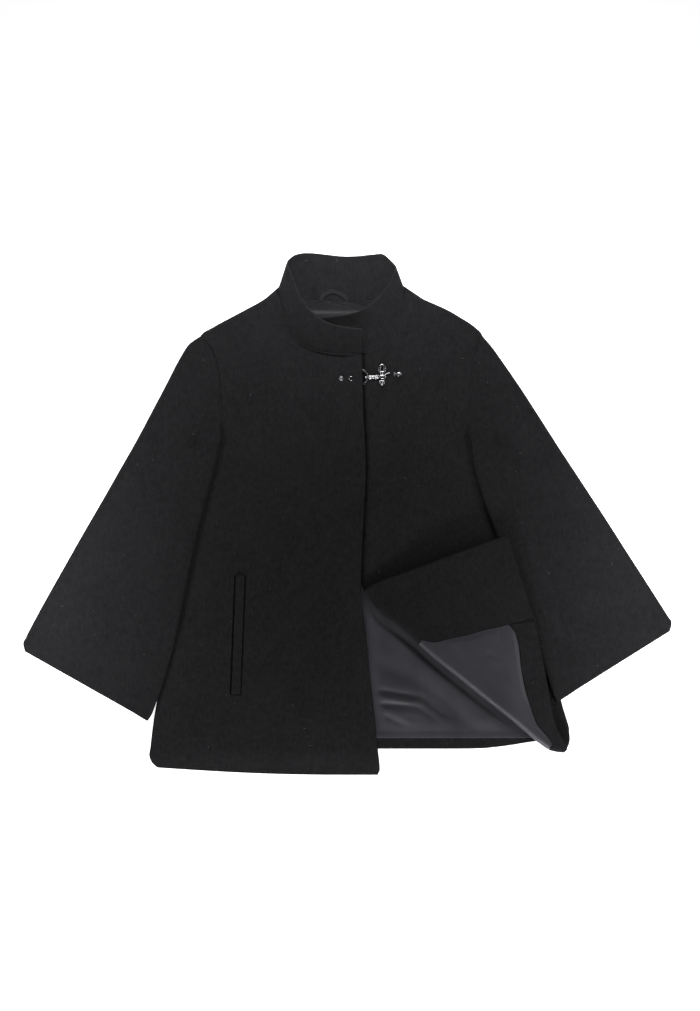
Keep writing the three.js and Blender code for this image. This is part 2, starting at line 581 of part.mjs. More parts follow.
// Place on the fold at a share of its length: the middle of the roll and its inner radius
function foldAt(share) {
  const place = share * (FOLD.length - 1);
  const row = Math.min(FOLD.length - 2, Math.floor(place));
  const radius = mix(FOLD[row].radius, FOLD[row + 1].radius, place - row);
  const reach = radius + WOOL + LAID + SATIN;
  const x = mix(FOLD[row].x, FOLD[row + 1].x, place - row) + reach * FOLD_ACROSS.x;
  const y = mix(FOLD[row].y, FOLD[row + 1].y, place - row) + reach * FOLD_ACROSS.y;
  return { x, y, radius };
}

// A point on the roll, at a distance out from the cloth's concave face
function rollPoint(share, degrees, outward) {
  const fold = foldAt(share);
  const angle = THREE.MathUtils.degToRad(degrees);
  const reach = (fold.radius + outward) * Math.sin(angle);
  const z = FRONT_TOP + fold.radius - (fold.radius + outward) * Math.cos(angle);
  return new THREE.Vector3(fold.x - reach * FOLD_ACROSS.x, fold.y - reach * FOLD_ACROSS.y, z);
}

// Underside of the turned-back corner: level with the top of the roll, rising to the corner
function flapBase(x, y) {
  const fromX = x - FOLD[0].x;
  const fromY = y - FOLD[0].y;
  const last = FOLD[FOLD.length - 1];
  const length = Math.hypot(last.x - FOLD[0].x, last.y - FOLD[0].y);
  const along = clamp01((fromX * FOLD_ALONG.x + fromY * FOLD_ALONG.y) / length);
  const across = fromX * FOLD_ACROSS.x + fromY * FOLD_ACROSS.y;
  const opened = smooth(FLAP_ROOM.from, FLAP_ROOM.to, across);
  const radius = mix(foldAt(along).radius, FLAP_ROOM.radius, opened);
  const rise = FLAP_RISE * smooth(0, FLAP_REACH, across) * (across / FLAP_REACH);
  return FRONT_TOP + 2 * radius + rise;
}

function leftFront() {
  const shares = curledShares(LEFT_COLUMNS, LEFT_EDGE_SHARE).map((share) => 1 - share).reverse();
  const rows = LEFT_FRONT.map((row) => {
    const sideX = bodyEdge("left", row.sideY);
    const length = Math.hypot(row.endX - sideX, row.endY - row.sideY);
    return shares.map((share) => {
      const x = mix(row.endX, sideX, share);
      const y = mix(row.endY, row.sideY, share);
      const base = FRONT_BASE + creaseLift(CREASES, x, y);
      return frontPair(x, y, base, edgeDrop(row.sideY, (1 - share) * length));
    });
  });
  for (let step = 0; step <= ROLL_STEPS; step += 1) {
    const degrees = (180 * step) / ROLL_STEPS;
    rows.push(shares.map((share) => (
      { a: rollPoint(share, degrees, WOOL), b: rollPoint(share, degrees, 0) }
    )));
  }
  for (const row of FLAP) {
    rows.push(shares.map((share) => {
      const x = mix(row.endX, row.hemX, share);
      const y = mix(row.endY, row.hemY, share);
      const base = flapBase(x, y);
      return stacked(x, y, base + WOOL, base);
    }));
  }
  return piece("left_front", wall(rows), BLACK_WOOL);
}

// A row of pairs on the turned-back corner's upper side, between two places
function flapRow(from, to, shares, thickness) {
  return shares.map((share) => {
    const x = mix(from.x, to.x, share);
    const y = mix(from.y, to.y, share);
    const base = flapBase(x, y) + WOOL + LAID;
    return stacked(x, y, base, base + thickness);
  });
}

// Rows of pairs round the outside of the roll, over part of the fold's length
function rollRows(fromShare, toShare, shares, thickness) {
  const rows = [];
  for (let step = 0; step <= WRAP_STEPS; step += 1) {
    const degrees = mix(WRAP_FROM, 180, step / WRAP_STEPS);
    rows.push(shares.map((share) => {
      const place = mix(fromShare, toShare, share);
      return {
        a: rollPoint(place, degrees, WOOL + LAID),
        b: rollPoint(place, degrees, WOOL + LAID + thickness),
      };
    }));
  }
  return rows;
}

function evenShares(count) {
  return Array.from({ length: count + 1 }, (_, k) => k / count);
}

function leftFacing() {
  const shares = evenShares(FACING_COLUMNS);
  const rows = rollRows(WRAP_END, FACING_SHARE - WRAP_SEAM, shares, SATIN);
  for (const row of FACING) {
    const from = { x: row.endX, y: row.endY };
    rows.push(flapRow(from, { x: row.innerX, y: row.innerY }, shares, SATIN));
  }
  return piece("left_facing", wall(rows), BLACK_WOOL);
}

function leftFlapLining() {
  const shares = evenShares(FLAP_LINING_COLUMNS);
  const rows = rollRows(FACING_SHARE + WRAP_SEAM, LINING_SHARE - WRAP_SEAM, shares, SATIN);
  for (const row of FLAP_LINING) {
    const from = { x: row.endX, y: row.endY };
    rows.push(flapRow(from, { x: row.hemX, y: row.hemY }, shares, SATIN));
  }
  return piece("left_flap_lining", wall(rows), GREY_SATIN);
}

function leftHemBand() {
  const shares = evenShares(FLAP_BAND_COLUMNS);
  const rows = rollRows(LINING_SHARE + WRAP_SEAM, 1 - WRAP_END, shares, SATIN);
  for (const row of [...HEM_BAND].reverse()) {
    const from = { x: row.innerX, y: row.innerY };
    rows.push(flapRow(from, { x: row.hemX, y: row.hemY }, shares, SATIN));
  }
  return piece("left_hem_band", wall(rows), BLACK_WOOL);
}

function hemRise(x) {
  return lookUp(BACK_HEM, "x", x, "y") - BACK_HEM_Y;
}

function backPanel() {
  const levels = BODY_EDGES.filter((row) => row.y > BACK_HEM_Y && row.y <= BACK_TOP_Y);
  const hem = { y: BACK_HEM_Y, right: BACK_CORNER_X, left: bodyEdge("left", BACK_HEM_Y) };
  const rows = [hem, ...levels].map((row) => evenShares(BACK_NECK.length - 1).map((share) => {
    const x = mix(row.right, row.left, share);
    const rise = hemRise(x) * (1 - smooth(BACK_HEM_Y, HEM_RISE_TOP_Y, row.y));
    return stacked(x, row.y + rise, 0, WOOL);
  }));
  rows.push(BACK_NECK.map((point) => stacked(point.x, point.y, 0, WOOL)));
  return piece("back_panel", wall(rows), BLACK_WOOL);
}

function backHemBand() {
  const shares = evenShares(HEM_BAND_COLUMNS);
  const rows = [HEM_BAND_LOW_Y, HEM_BAND_TOP_Y].map((y) => shares.map((share) => {
    const from = bodyEdge("right", y) + LINING_INSET;
    const x = mix(from, bodyEdge("left", y) - LINING_INSET, share);
    const lowerY = y === HEM_BAND_LOW_Y ? y + hemRise(x) : y;
    return stacked(x, lowerY, LINING_BASE, LINING_BASE + HEM_BAND_WALL);
  }));
  return piece("back_hem_band", wall(rows), BLACK_WOOL);
}

// Ripples stand only on the bared part of the lining, clear of the fronts around it
function liningLift(x, y) {
  const frontX = lookUp(RIGHT_FRONT, "endY", y, "endX");
  const foldY = lookUp(FOLD, "x", x, "y");
  const { front, fold, hem, margin } = RIPPLE_CLEAR;
  const bared = smooth(front, front + margin, x - frontX) * smooth(fold, fold + margin, foldY - y)
    * smooth(hem, hem + margin, y - HEM_BAND_TOP_Y);
  return bared * creaseLift(RIPPLES, x, y);
}

function backLining() {
  const levels = [];
  for (let y = HEM_BAND_TOP_Y + SEAM; y < BARED_TOP_Y; y += BARED_STEP) levels.push(y);
  levels.push(...LINING_LEVELS);
  const liningPair = (x, y) => {
    const base = LINING_BASE + liningLift(x, y);
    return stacked(x, y, base, base + SATIN);
  };
  const rows = levels.map((y) => {
    const sloping = smooth(SHOULDER_BAND.fromY, SHOULDER_BAND.toY, y);
    const inset = mix(LINING_INSET, SHOULDER_INSET, sloping);
    const from = bodyEdge("right", y) + inset;
    const to = bodyEdge("left", y) - inset;
    const covered = evenShares(COVERED_COLUMNS).slice(0, -1);
    const bared = evenShares(LINING_COLUMNS - COVERED_COLUMNS);
    return [
      ...covered.map((share) => liningPair(mix(from, BARED_FROM_X, share), y)),
      ...bared.map((share) => liningPair(mix(BARED_FROM_X, to, share), y)),
    ];
  });
  rows.push(evenShares(LINING_COLUMNS).map((share) => {
    const x = mix(-LINING_NECK_HALF, LINING_NECK_HALF, share) + BODY_MIDDLE;
    return liningPair(x, lookUp(BACK_NECK, "x", x, "y") - LINING_TOP_GAP);
  }));
  return piece("back_lining", wall(rows), GREY_SATIN);
}

// How far a sleeve is lifted to lie over the edge of the body
function sideLift(side, x, y) {
  const sign = side === "right" ? -1 : 1;
  const cornerX = bodyEdge(side, ARMPIT_Y);
  const outside = y <= ARMPIT_Y
    ? Math.min(sign * (x - bodyEdge(side, y)), Math.hypot(x - cornerX, y - ARMPIT_Y))
    : Math.hypot(x - cornerX, y - ARMPIT_Y);
  const onBody = y <= ARMPIT_Y && sign * (x - bodyEdge(side, y)) < 0;
  return (FRONT_TOP + SEAM) * (onBody ? 1 : 1 - smooth(SIDE_FLAT, SIDE_RAMP, outside));
}

// A place on a sleeve: row from armhole to cuff, share from the outer edge to the body's
function sleevePlace(side, table, row, share) {
  const section = table[row];
  const fade = (1 - clamp01(row / (table.length - 1) / SLEEVE_FREE)) ** 2;
  const sign = side === "right" ? -1 : 1;
  const seamY = mix(TIP_Y, ARMPIT_Y, share);
  const seamX = bodyEdge(side, seamY) + sign * ARMHOLE_GAP;
  const chordX = mix(table[0].outerX, table[0].innerX, share);
  const x = mix(section.outerX, section.innerX, share) + fade * (seamX - chordX);
  const y = mix(section.outerY, section.innerY, share);
  return { x, y };
}

function sleeveShares() {
  const inner = evenShares(SLEEVE_COLUMNS).map((share) => mix(SLEEVE_RIM, 1 - SLEEVE_RIM, share));
  return [0, SLEEVE_RIM / 3, ...inner, 1 - SLEEVE_RIM / 3, 1];
}

function sleeveBack(side, table) {
  const shares = sleeveShares();
  const rows = table.map((_, row) => shares.map((share) => {
    const { x, y } = sleevePlace(side, table, row, share);
    const base = sideLift(side, x, y);
    return stacked(x, y, base, base + WOOL);
  }));
  return piece(`${side}_sleeve_back`, wall(rows), BLACK_WOOL);
}

function sleeveEdgeDistance(share) {
  return Math.min(share, 1 - share) * SLEEVE_WIDTH;
}

// Room between the two walls of a sleeve: none at its long edges, the front's height at the
// armhole seam, less again at the cuff
function sleeveRoom(row, last, share) {
  const middle = mix(CREST - WOOL, CUFF_GAP, smooth(CUFF_FROM * last, last, row));
  const body = mix(FRONT_BASE - WOOL, middle, smooth(0, ARMHOLE_ROWS, row));
  const opened = row === 0
    ? smooth(0, ARMPIT_PINCH, 1 - share)
    : curlShare(sleeveEdgeDistance(share));
  return mix(SEAM, body, opened);
}

function sleeveFront(side, table) {
  const shares = sleeveShares();
  const last = table.length - 1;
  const rows = table.map((_, row) => shares.map((share) => {
    const { x, y } = sleevePlace(side, table, row, share);
    const nearest = sleeveEdgeDistance(share);
    const round = row === 0 ? 1 : mix(1 - EDGE_THINNING, 1, curlShare(nearest));
    const calm = smooth(0, ARMHOLE_ROWS, row) * curlShare(nearest / 2);
    const room = sleeveRoom(row, last, share) + creaseLift(CREASES, x, y) * calm;
    const base = sideLift(side, x, y) + WOOL + room;
    return stacked(x, y, base, base + WOOL * round);
  }));
  return piece(`${side}_sleeve_front`, wall(rows), BLACK_WOOL);
}

// The collar band: each section runs from the seam to the free edge, with a slight bow, and
// the wall is grown to both sides along the surface's own direction
function collar() {
  const middle = COLLAR.map((row) => COLLAR_ROWS.map((share) => new THREE.Vector3(
    mix(row.seamX, row.edgeX, share),
    mix(row.seamY, row.edgeY, share),
    mix(row.seamZ, row.edgeZ, share),
  )));
  const rows = middle.map((row, i) => row.map((point, j) => {
    const before = middle[Math.max(0, i - 1)][j];
    const after = middle[Math.min(middle.length - 1, i + 1)][j];
    const down = row[Math.max(0, j - 1)];
    const up = row[Math.min(row.length - 1, j + 1)];
    const normal = new THREE.Vector3().subVectors(after, before)
      .cross(new THREE.Vector3().subVectors(up, down)).normalize();
    const half = normal.multiplyScalar(COLLAR_BAND / 2);
    return { a: point.clone().sub(half), b: point.clone().add(half) };
  }));
  return piece("collar", wall(rows), BLACK_WOOL);
}

function hangerLoop() {
  const base = COLLAR_BAND + SEAM;
  const top = base + LOOP.wall;
  const middleX = (LOOP.fromX + LOOP.toX) / 2;
  const half = (LOOP.toX - LOOP.fromX) / 2;
  const rows = evenShares(LOOP.steps).map((share) => {
    const angle = Math.PI * share;
    const outerX = middleX - half * Math.cos(angle);
    const outerY = LOOP.baseY + LOOP.rise * Math.sin(angle);
    const innerX = middleX - (half - LOOP.width) * Math.cos(angle);
    const innerY = LOOP.baseY + (LOOP.rise - LOOP.width) * Math.sin(angle);
    return [stacked(outerX, outerY, base, top), stacked(innerX, innerY, base, top)];
  });
  return piece("hanger_loop", wall(rows), GREY_SATIN);
}

function rightPocketWelt() {
  const rows = evenShares(WELT.steps).map((along) => evenShares(2).map((across) => {
    const x = mix(WELT.topX, WELT.lowX, along) + WELT.width * across;
    const y = mix(WELT.topY, WELT.lowY, along);
    const base = rightFrontBase(x, y) + WOOL + SEAM;
    return stacked(x, y, base, base + WELT.wall);
  }));
  return piece("right_pocket_welt", wall(rows), BLACK_WOOL);
}

function anticlockwise(points) {
  return THREE.ShapeUtils.area(points) < 0 ? [...points].reverse() : points;
}

// A flat metal piece with slightly rounded edges, cut to an outline and lying at a height
function plate(name, outline, base, height, holes = []) {
  const shape = new THREE.Shape(anticlockwise(outline));
  shape.holes = holes.map((points) => new THREE.Path(anticlockwise(points)));
  const { bevel } = CLASP;
  const geometry = new THREE.ExtrudeGeometry(shape, {
    depth: height - 2 * bevel,
    steps: 1,
    bevelEnabled: true,
    bevelThickness: bevel,
    bevelSize: bevel,
    bevelOffset: -bevel,
    bevelSegments: 1,
  });
  const mesh = piece(name, geometry, DARK_METAL);
  mesh.position.z = base + bevel;
  return mesh;
}

function outlineOf(places) {
  return places.map(([x, y]) => new THREE.Vector2(x, y));
}

function claspStuds() {
  const { radius, height, places, y, faces } = CLASP.stud;
  const profile = outlineOf(STUD_PROFILE.map(({ out, up }) => [radius * out, height * up]));
  return places.map((x, place) => {
    const geometry = new THREE.LatheGeometry(profile, faces);
    geometry.rotateX(Math.PI / 2);
    const mesh = piece(`clasp_stud_${place + 1}`, geometry, DARK_METAL);
    mesh.position.set(x, y, FRONT_TOP + OVERLAP_LIFT + SEAM);
    return mesh;
  });
}

// Ring: two arms from under the edge of the right front to a small ball end
function claspRing() {
  const { edgeX, ballX, ballRadius, spread, wire, height } = CLASP.ring;
  const half = wire / 2;
  const left = ballX - ballRadius;
  const outline = outlineOf([
    [edgeX, CLASP.y + spread], [edgeX, CLASP.y + spread - 2 * wire], [left + half, CLASP.y + half],
    [left, CLASP.y], [left + half, CLASP.y - half], [edgeX, CLASP.y - spread + 2 * wire],
    [edgeX, CLASP.y - spread], [ballX, CLASP.y - ballRadius - half],
    [ballX + ballRadius, CLASP.y - half], [ballX + ballRadius, CLASP.y + half],
    [ballX, CLASP.y + ballRadius + half],
  ]);
  return plate("clasp_ring", outline, FRONT_TOP + SEAM, height);
}

// Hook: a slotted bar, a broad boss and a thin arm that leans up
function claspHook() {
  const { bar, boss, arm } = CLASP;
  const half = bar.width / 2;
  const bossHalf = boss.width / 2;
  const bossFrom = bar.toX + boss.slope;
  const bossTo = boss.toX - boss.slope;
  const outline = outlineOf([
    [bar.fromX, CLASP.y - half], [bar.toX, CLASP.y - half], [bossFrom, CLASP.y - bossHalf],
    [bossTo, CLASP.y - bossHalf], [boss.toX, CLASP.y], [arm.toX, CLASP.y + arm.rise - arm.width],
    [arm.toX, CLASP.y + arm.rise], [bossTo, CLASP.y + bossHalf - boss.slope],
    [bossFrom, CLASP.y + bossHalf], [bar.toX, CLASP.y + half], [bar.fromX, CLASP.y + half],
  ]);
  const slotHalf = bar.slot / 2;
  const slotFrom = bar.fromX + bar.slotEnd;
  const slotTo = bar.toX - bar.slotEnd;
  const slot = outlineOf([
    [slotFrom, CLASP.y - slotHalf], [slotFrom, CLASP.y + slotHalf],
    [slotTo, CLASP.y + slotHalf], [slotTo, CLASP.y - slotHalf],
  ]);
  return plate("clasp_hook", outline, FRONT_TOP + SEAM, bar.height, [slot]);
}

// Wing: an open loop that narrows to a round tip, by which the hook is sewn on
function claspWing(name, direction, reach) {
  const { x, width, tip, wall: rib, height } = CLASP.wing;
  const start = CLASP.y + direction * (CLASP.boss.width / 2 + SEAM);
  const loop = (inset) => outlineOf([
    [x - width / 2 + inset, start + direction * inset],
    [x + width / 2 - inset, start + direction * inset],
    [x + tip / 2 - inset / 2, start + direction * (reach - inset)],
    [x - tip / 2 + inset / 2, start + direction * (reach - inset)],
  ]);
  return plate(name, loop(0), FRONT_TOP + SEAM, height, [loop(rib)]);
}

function claspCap() {
  const { x, barX, neckX, domeX, tipX, y, height } = CLASP.cap;
  const outline = outlineOf([
    [x, y - CAP_HALF.bar], [barX, y - CAP_HALF.bar], [neckX, y - CAP_HALF.neck],
    [domeX, y - CAP_HALF.dome], [tipX, y - CAP_HALF.tip], [tipX, y + CAP_HALF.tip],
    [domeX, y + CAP_HALF.dome], [neckX, y + CAP_HALF.neck], [barX, y + CAP_HALF.bar],
    [x, y + CAP_HALF.bar],
  ]);
  return plate("clasp_cap", outline, FRONT_TOP + SEAM, height);
}

const group = new THREE.Group();
group.add(backPanel(), backHemBand(), backLining());
group.add(rightFront(), rightPocketWelt());
group.add(leftFront(), leftFacing(), leftFlapLining(), leftHemBand());
group.add(sleeveBack("right", RIGHT_SLEEVE), sleeveFront("right", RIGHT_SLEEVE));
group.add(sleeveBack("left", LEFT_SLEEVE), sleeveFront("left", LEFT_SLEEVE));
group.add(collar(), hangerLoop());
group.add(...claspStuds(), claspRing(), claspHook());
group.add(claspWing("clasp_wing_upper", 1, CLASP.wing.upper));
group.add(claspWing("clasp_wing_lower", -1, CLASP.wing.lower));
group.add(claspCap());

export default group;
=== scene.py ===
import math

import bpy
import numpy as np
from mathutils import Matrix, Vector


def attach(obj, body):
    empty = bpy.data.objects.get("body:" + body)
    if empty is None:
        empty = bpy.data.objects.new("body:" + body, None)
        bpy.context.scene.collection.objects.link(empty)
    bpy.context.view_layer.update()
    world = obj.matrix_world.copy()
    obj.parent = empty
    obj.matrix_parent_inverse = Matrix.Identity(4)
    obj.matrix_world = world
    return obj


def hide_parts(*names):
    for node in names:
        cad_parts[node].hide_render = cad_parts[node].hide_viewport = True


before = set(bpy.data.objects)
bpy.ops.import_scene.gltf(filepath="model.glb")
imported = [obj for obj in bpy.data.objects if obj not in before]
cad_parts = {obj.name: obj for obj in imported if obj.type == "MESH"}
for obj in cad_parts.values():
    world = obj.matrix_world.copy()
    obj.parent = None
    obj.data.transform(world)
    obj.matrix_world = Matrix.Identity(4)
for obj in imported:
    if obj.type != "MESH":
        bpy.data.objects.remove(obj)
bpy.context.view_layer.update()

# Black wool cape jacket, laid flat on its back with the front up and the lower corner of the
# wearer's left front turned back over the sleeve. Left and right are the wearer's.
# Tables and sizes are in millimetres, as the garment is measured, and MM turns them to metres.
MM = 0.001

# Driving dimensions
WOOL = 2.4  # wall of the coating cloth
SATIN = 1.0  # wall of the lining
SEAM = 0.3  # gap between layers
LAID = 0.5  # gap under what follows the turned-back corner round its roll
CREST = 5.7  # underside of a sleeve's upper layer, above what it lies on
CURL = 9  # width over which a seamed edge rounds down
COLLAR_BAND = 3.4  # wall of the doubled collar
COLLAR_BOW = 1.6  # how far it bows out between seam and edge
COLLAR_SEWN = 3.4  # how far its seam runs into the fronts and the back
COLLAR_SAG = 5.5  # how far the hidden end of its left half drops
GRID = 3.6  # usual size of a face
RIPPLE_GRID = 1.9  # size of a face where satin ripples
BACK_GRID = 6  # and of faces elsewhere
COVERED_GRID = 7
COLLAR_GRID = 2.2
HEM_BAND_GRID = 3
BAND_GRID = 2.5
EDGE_STEPS = np.array([0, 0.12, 0.4, 0.9, 1.6, 2.6, 4, 6, 9])  # rows from each edge inwards
EDGE_CLEAR = 0.3  # room left between the steps of two edges
TINY = 1e-9  # keeps a division away from zero

LINING_BASE = WOOL + SEAM
FRONT_BASE = LINING_BASE + SATIN + SEAM
FRONT_TOP = FRONT_BASE + WOOL
OVERLAP_LIFT = WOOL + SEAM
EDGE_RISE = 2.4  # how much higher the right front's centre edge stands
SEAM_THINNING = 0.5  # share of the wall lost where a front comes down to its seam


def table(columns, rows):
    """Columns of numbers by name, from rows written out below one another."""
    return {name: np.array([row[k] for row in rows], float) for k, name in enumerate(columns.split())}


# Edges of the body at each height up the garment: side seams, armholes, then shoulders
BODY_EDGES = table("y right left", [
    (-360.5, -269.5, 290), (-353, -277.5, 297), (-342.5, -281, 306), (-330, -279, 313.5),
    (-320, -278, 315), (-296, -275, 310.5), (-262, -269.5, 301.5), (-220, -263.5, 290),
    (-180, -258, 279), (-130, -251, 265), (-80, -244, 251.5), (-30, -237, 237.5),
    (20, -228, 223.5), (60, -218, 212), (84, -206, 203), (92, -194, 190), (99, -185, 181),
    (110, -181.5, 177), (125, -180, 175.3), (145, -178.5, 174.3), (170, -178, 174),
    (190, -179.5, 174.5), (210, -183, 176), (228, -189, 180.5), (242, -198, 185.5),
    (252, -208, 191), (264, -190.5, 180.5), (276, -168.5, 162.5), (288, -146, 142),
    (300, -124, 115.5), (308, -112, 98.5), (316, -103, 84),
])
BODY_MIDDLE = -9
ARMPIT_Y = 99
TIP_Y = 252  # of the shoulder

# Right front, hem to neck: side end, centre or neck end, and how far its middle hangs
RIGHT_FRONT = table("side_y end_x end_y sag", [
    (-360.5, 43, -371, 3.6), (-353, 46, -363, 3.6), (-342.5, 44.8, -349, 3),
    (-330, 43, -333, 2.7), (-320, 42, -322, 2.5), (-296, 39.5, -297, 2), (-262, 35.5, -262, 0),
    (-220, 31, -220, 0), (-180, 27, -180, 0), (-130, 21.3, -132, 0), (-105, 19.2, -108, 0),
    (-80, 19.4, -82, 0), (-30, 21.5, -30, 0), (20, 24.3, 20, 0), (60, 26, 60, 0),
    (84, 25.6, 84, 0), (92, 25.2, 92, 0), (99, 24.9, 99, 0), (110, 24.2, 109, 0),
    (125, 23.5, 122, 0), (145, 22.5, 140, 0), (170, 21.8, 162, 0), (190, 21.4, 181, 0),
    (210, 21.1, 198, 0), (228, 21, 213, 0), (242, 20.8, 225, 0), (252, 0, 224, 0),
    (264, -24, 225.5, 0), (276, -45, 230.5, 0), (288, -62, 239.5, 0), (300, -77, 254, 0),
    (308, -89, 271, 0), (316, -95, 305, 0),
])

# Left front above the fold, fold to neck. Its centre end is hidden under the right front.
LEFT_FRONT = table("side_y end_x end_y", [
    (-318, 22.3, -107.5), (-296, 21.8, -105.5), (-262, 19.5, -101), (-220, 17, -92), (-180, 13.5, -78),
    (-130, 9.5, -55), (-80, 4.5, -26), (-30, -1.5, 10), (20, -8.5, 48), (60, -14.3, 84),
    (84, -18, 108), (92, -19.8, 118), (99, -21, 126), (110, -23, 137), (125, -25.5, 152),
    (145, -28.5, 171), (170, -32, 195), (190, -35, 214), (210, -38, 233), (228, -8, 229.5),
    (242, 20, 228.5), (252, 40, 234), (264, 53, 244.5), (276, 62.5, 259), (288, 70.5, 273.5),
    (300, 76.5, 285.5), (308, 80.5, 297), (316, 80, 309),
])
LEFT_EDGE_ROWS = 19  # rows of LEFT_FRONT that end on its hidden centre edge
RIGHT_EDGE_ROWS = 25  # rows of RIGHT_FRONT that end on its centre edge
LEFT_ROW_STEP = 5
RIGHT_WIDTH, LEFT_WIDTH = 290, 270  # usual widths, for the grids

# The fold of the left front: outermost line of the roll from above, and its inner radius
FOLD = table("x y radius", [
    (20.9, -111, 1), (45, -140, 2.2), (75.5, -164, 3.4), (100, -185.5, 4.2), (127, -209, 4.7),
    (162, -237, 5), (196, -264.5, 5), (226, -288, 5), (250, -308, 4.9), (271, -325, 4.6),
    (289, -336, 3.9), (307, -339, 2.6),
])
FOLD_ALONG = np.array([0.783, -0.622]) / math.hypot(0.783, 0.622)
FOLD_ACROSS = np.array([-FOLD_ALONG[1], FOLD_ALONG[0]])
FLAP_REACH = 190  # from the roll to the corner
FLAP_RISE = 7  # of the corner above the roll
FLAP_ROOM = 4.6  # half the room under the turned-back corner

# The turned-back corner, fold to corner: its centre edge and its hem edge
FLAP = table("end_x end_y hem_x hem_y", [
    (34, -100.5, 301, -318), (54, -93, 295, -300), (78, -84, 287, -268), (108, -73, 280, -226),
    (136, -62.5, 272.5, -188), (158, -54.5, 265.5, -153), (178, -47.5, 254, -117),
    (195, -41, 244, -87), (208, -36.5, 236.5, -63), (217, -33.6, 231, -45),
    (224.2, -32.6, 227.6, -35.6),
])

# Facing on the turned-back corner, fold to hem: centre edge and inner edge
FACING = table("end_x end_y inner_x inner_y", [
    (45, -97, 119, -180.5), (78, -85, 145, -176), (108, -74, 175, -169.5),
    (136, -63.5, 203, -161.5), (168, -52, 229, -155.5), (195, -42, 245, -152),
    (208, -37.5, 254, -146), (217, -34.8, 258, -136), (224.6, -34.4, 255.5, -125),
    (229, -41.5, 251.5, -113),
])
FACING_SHARE = 0.27  # share of the fold that the facing crosses

# Lining on the turned-back corner, fold up: its end on the facing and on the hem allowance
FLAP_LINING = table("end_x end_y hem_x hem_y", [
    (122, -182, 266.5, -296), (145, -177, 258, -272), (170, -172, 250, -244),
    (194, -165, 245, -216), (214, -160.5, 242, -188), (228, -157, 237, -168),
])
LINING_SHARE = 0.885  # share of the fold at which the lining ends
FOLD_ENDS = (0.002, 0.998)  # shares at which the cloths round it start and end
BUTT = 0.002  # share left free at the edges of each
COVER_START = 55  # degrees round the roll at which they start
ROLL_ROWS, COVER_ROWS = 13, 9  # round the roll, of the left front and of what covers it
FACING_WIDTH, FLAP_LINING_WIDTH, FLAP_BAND_WIDTH = 110, 175, 34  # usual ones, for the grids

# Hem allowance on the turned-back corner, fold to facing: lining edge and hem edge
FLAP_BAND = table("inner_x inner_y hem_x hem_y", [
    (267.7, -296, 294, -300), (259.2, -272, 288, -276), (251.2, -244, 283, -246),
    (246.2, -216, 277.5, -217), (243, -189, 272, -190), (238.5, -170, 268, -170),
    (230.5, -156.6, 264, -151.5),
])

# Sleeves, armhole to cuff: outer edge and the edge along the body
RIGHT_SLEEVE = table("outer_x outer_y inner_x inner_y", [
    (-208.5, 252, -185.5, 99), (-224, 241, -187.5, 80), (-238.5, 218.5, -192, 55),
    (-255, 186.5, -198, 32), (-274, 150.5, -204.5, 8), (-298.5, 104.5, -213, -27),
    (-322.5, 62.5, -220.5, -60), (-347, 19.5, -227.5, -95), (-372, -23.5, -236, -138),
    (-396.5, -66.5, -245, -180), (-421, -110, -255, -218), (-445.5, -154.5, -265.5, -252),
    (-456, -175, -274, -277), (-460, -184.5, -277, -284.5), (-457.5, -195.5, -283, -294),
])
LEFT_SLEEVE = table("outer_x outer_y inner_x inner_y", [
    (191.5, 252, 181.5, 99), (203.5, 238, 181, 80), (222, 212, 184.5, 55), (245, 178.5, 190, 32),
    (272, 137, 198, 6), (300.5, 92.5, 209.5, -27), (324, 57, 220.5, -58), (347, 22, 232, -90),
    (370.5, -14, 244, -123), (393.5, -50, 256, -157), (417, -86.5, 269, -193),
    (440, -122.5, 282, -229), (454, -144.5, 290, -250), (459.8, -154.5, 293, -258),
    (457, -166.8, 297.5, -266.8),
])
SLEEVE_LENGTH, SLEEVE_WIDTH = 430, 190  # usual ones, for the grid
SLEEVE_FREE = 0.3  # share of the sleeve over which the armhole's curve fades out
SIDE_FLAT, SIDE_RAMP = 9, 34  # from the body's side, where a sleeve comes down to the floor
CUFF_GAP = 2.4  # between a cuff's two layers
CUFF_FROM = 0.8  # share of the sleeve from which they near each other
SEWN = 2.6  # how far a sleeve's head runs in under the edge of the armhole
TIP_LAP = 4  # how far the head runs in at the shoulder tip
TIP_SHARE, TIP_REACH = 0.12, 14  # where that fades out, across the sleeve and down it
HEAD_ROWS = 2  # rows of the table over which the head opens to a tube
HEAD_CURL = 1.6  # how much closer its edges round down there
HEAD_DIP = 2.1  # how far the head lies lower in the seam
DIP_DOWN = (0, 5)  # where the dip ends, down the sleeve
HEAD_RISE = 1.3  # how far the sleeve stands up just past the seam
PUFF_AT, PUFF_WIDTH, PUFF_ACROSS = 11, 8, (0, 12)  # where: down the sleeve, and in from its edges

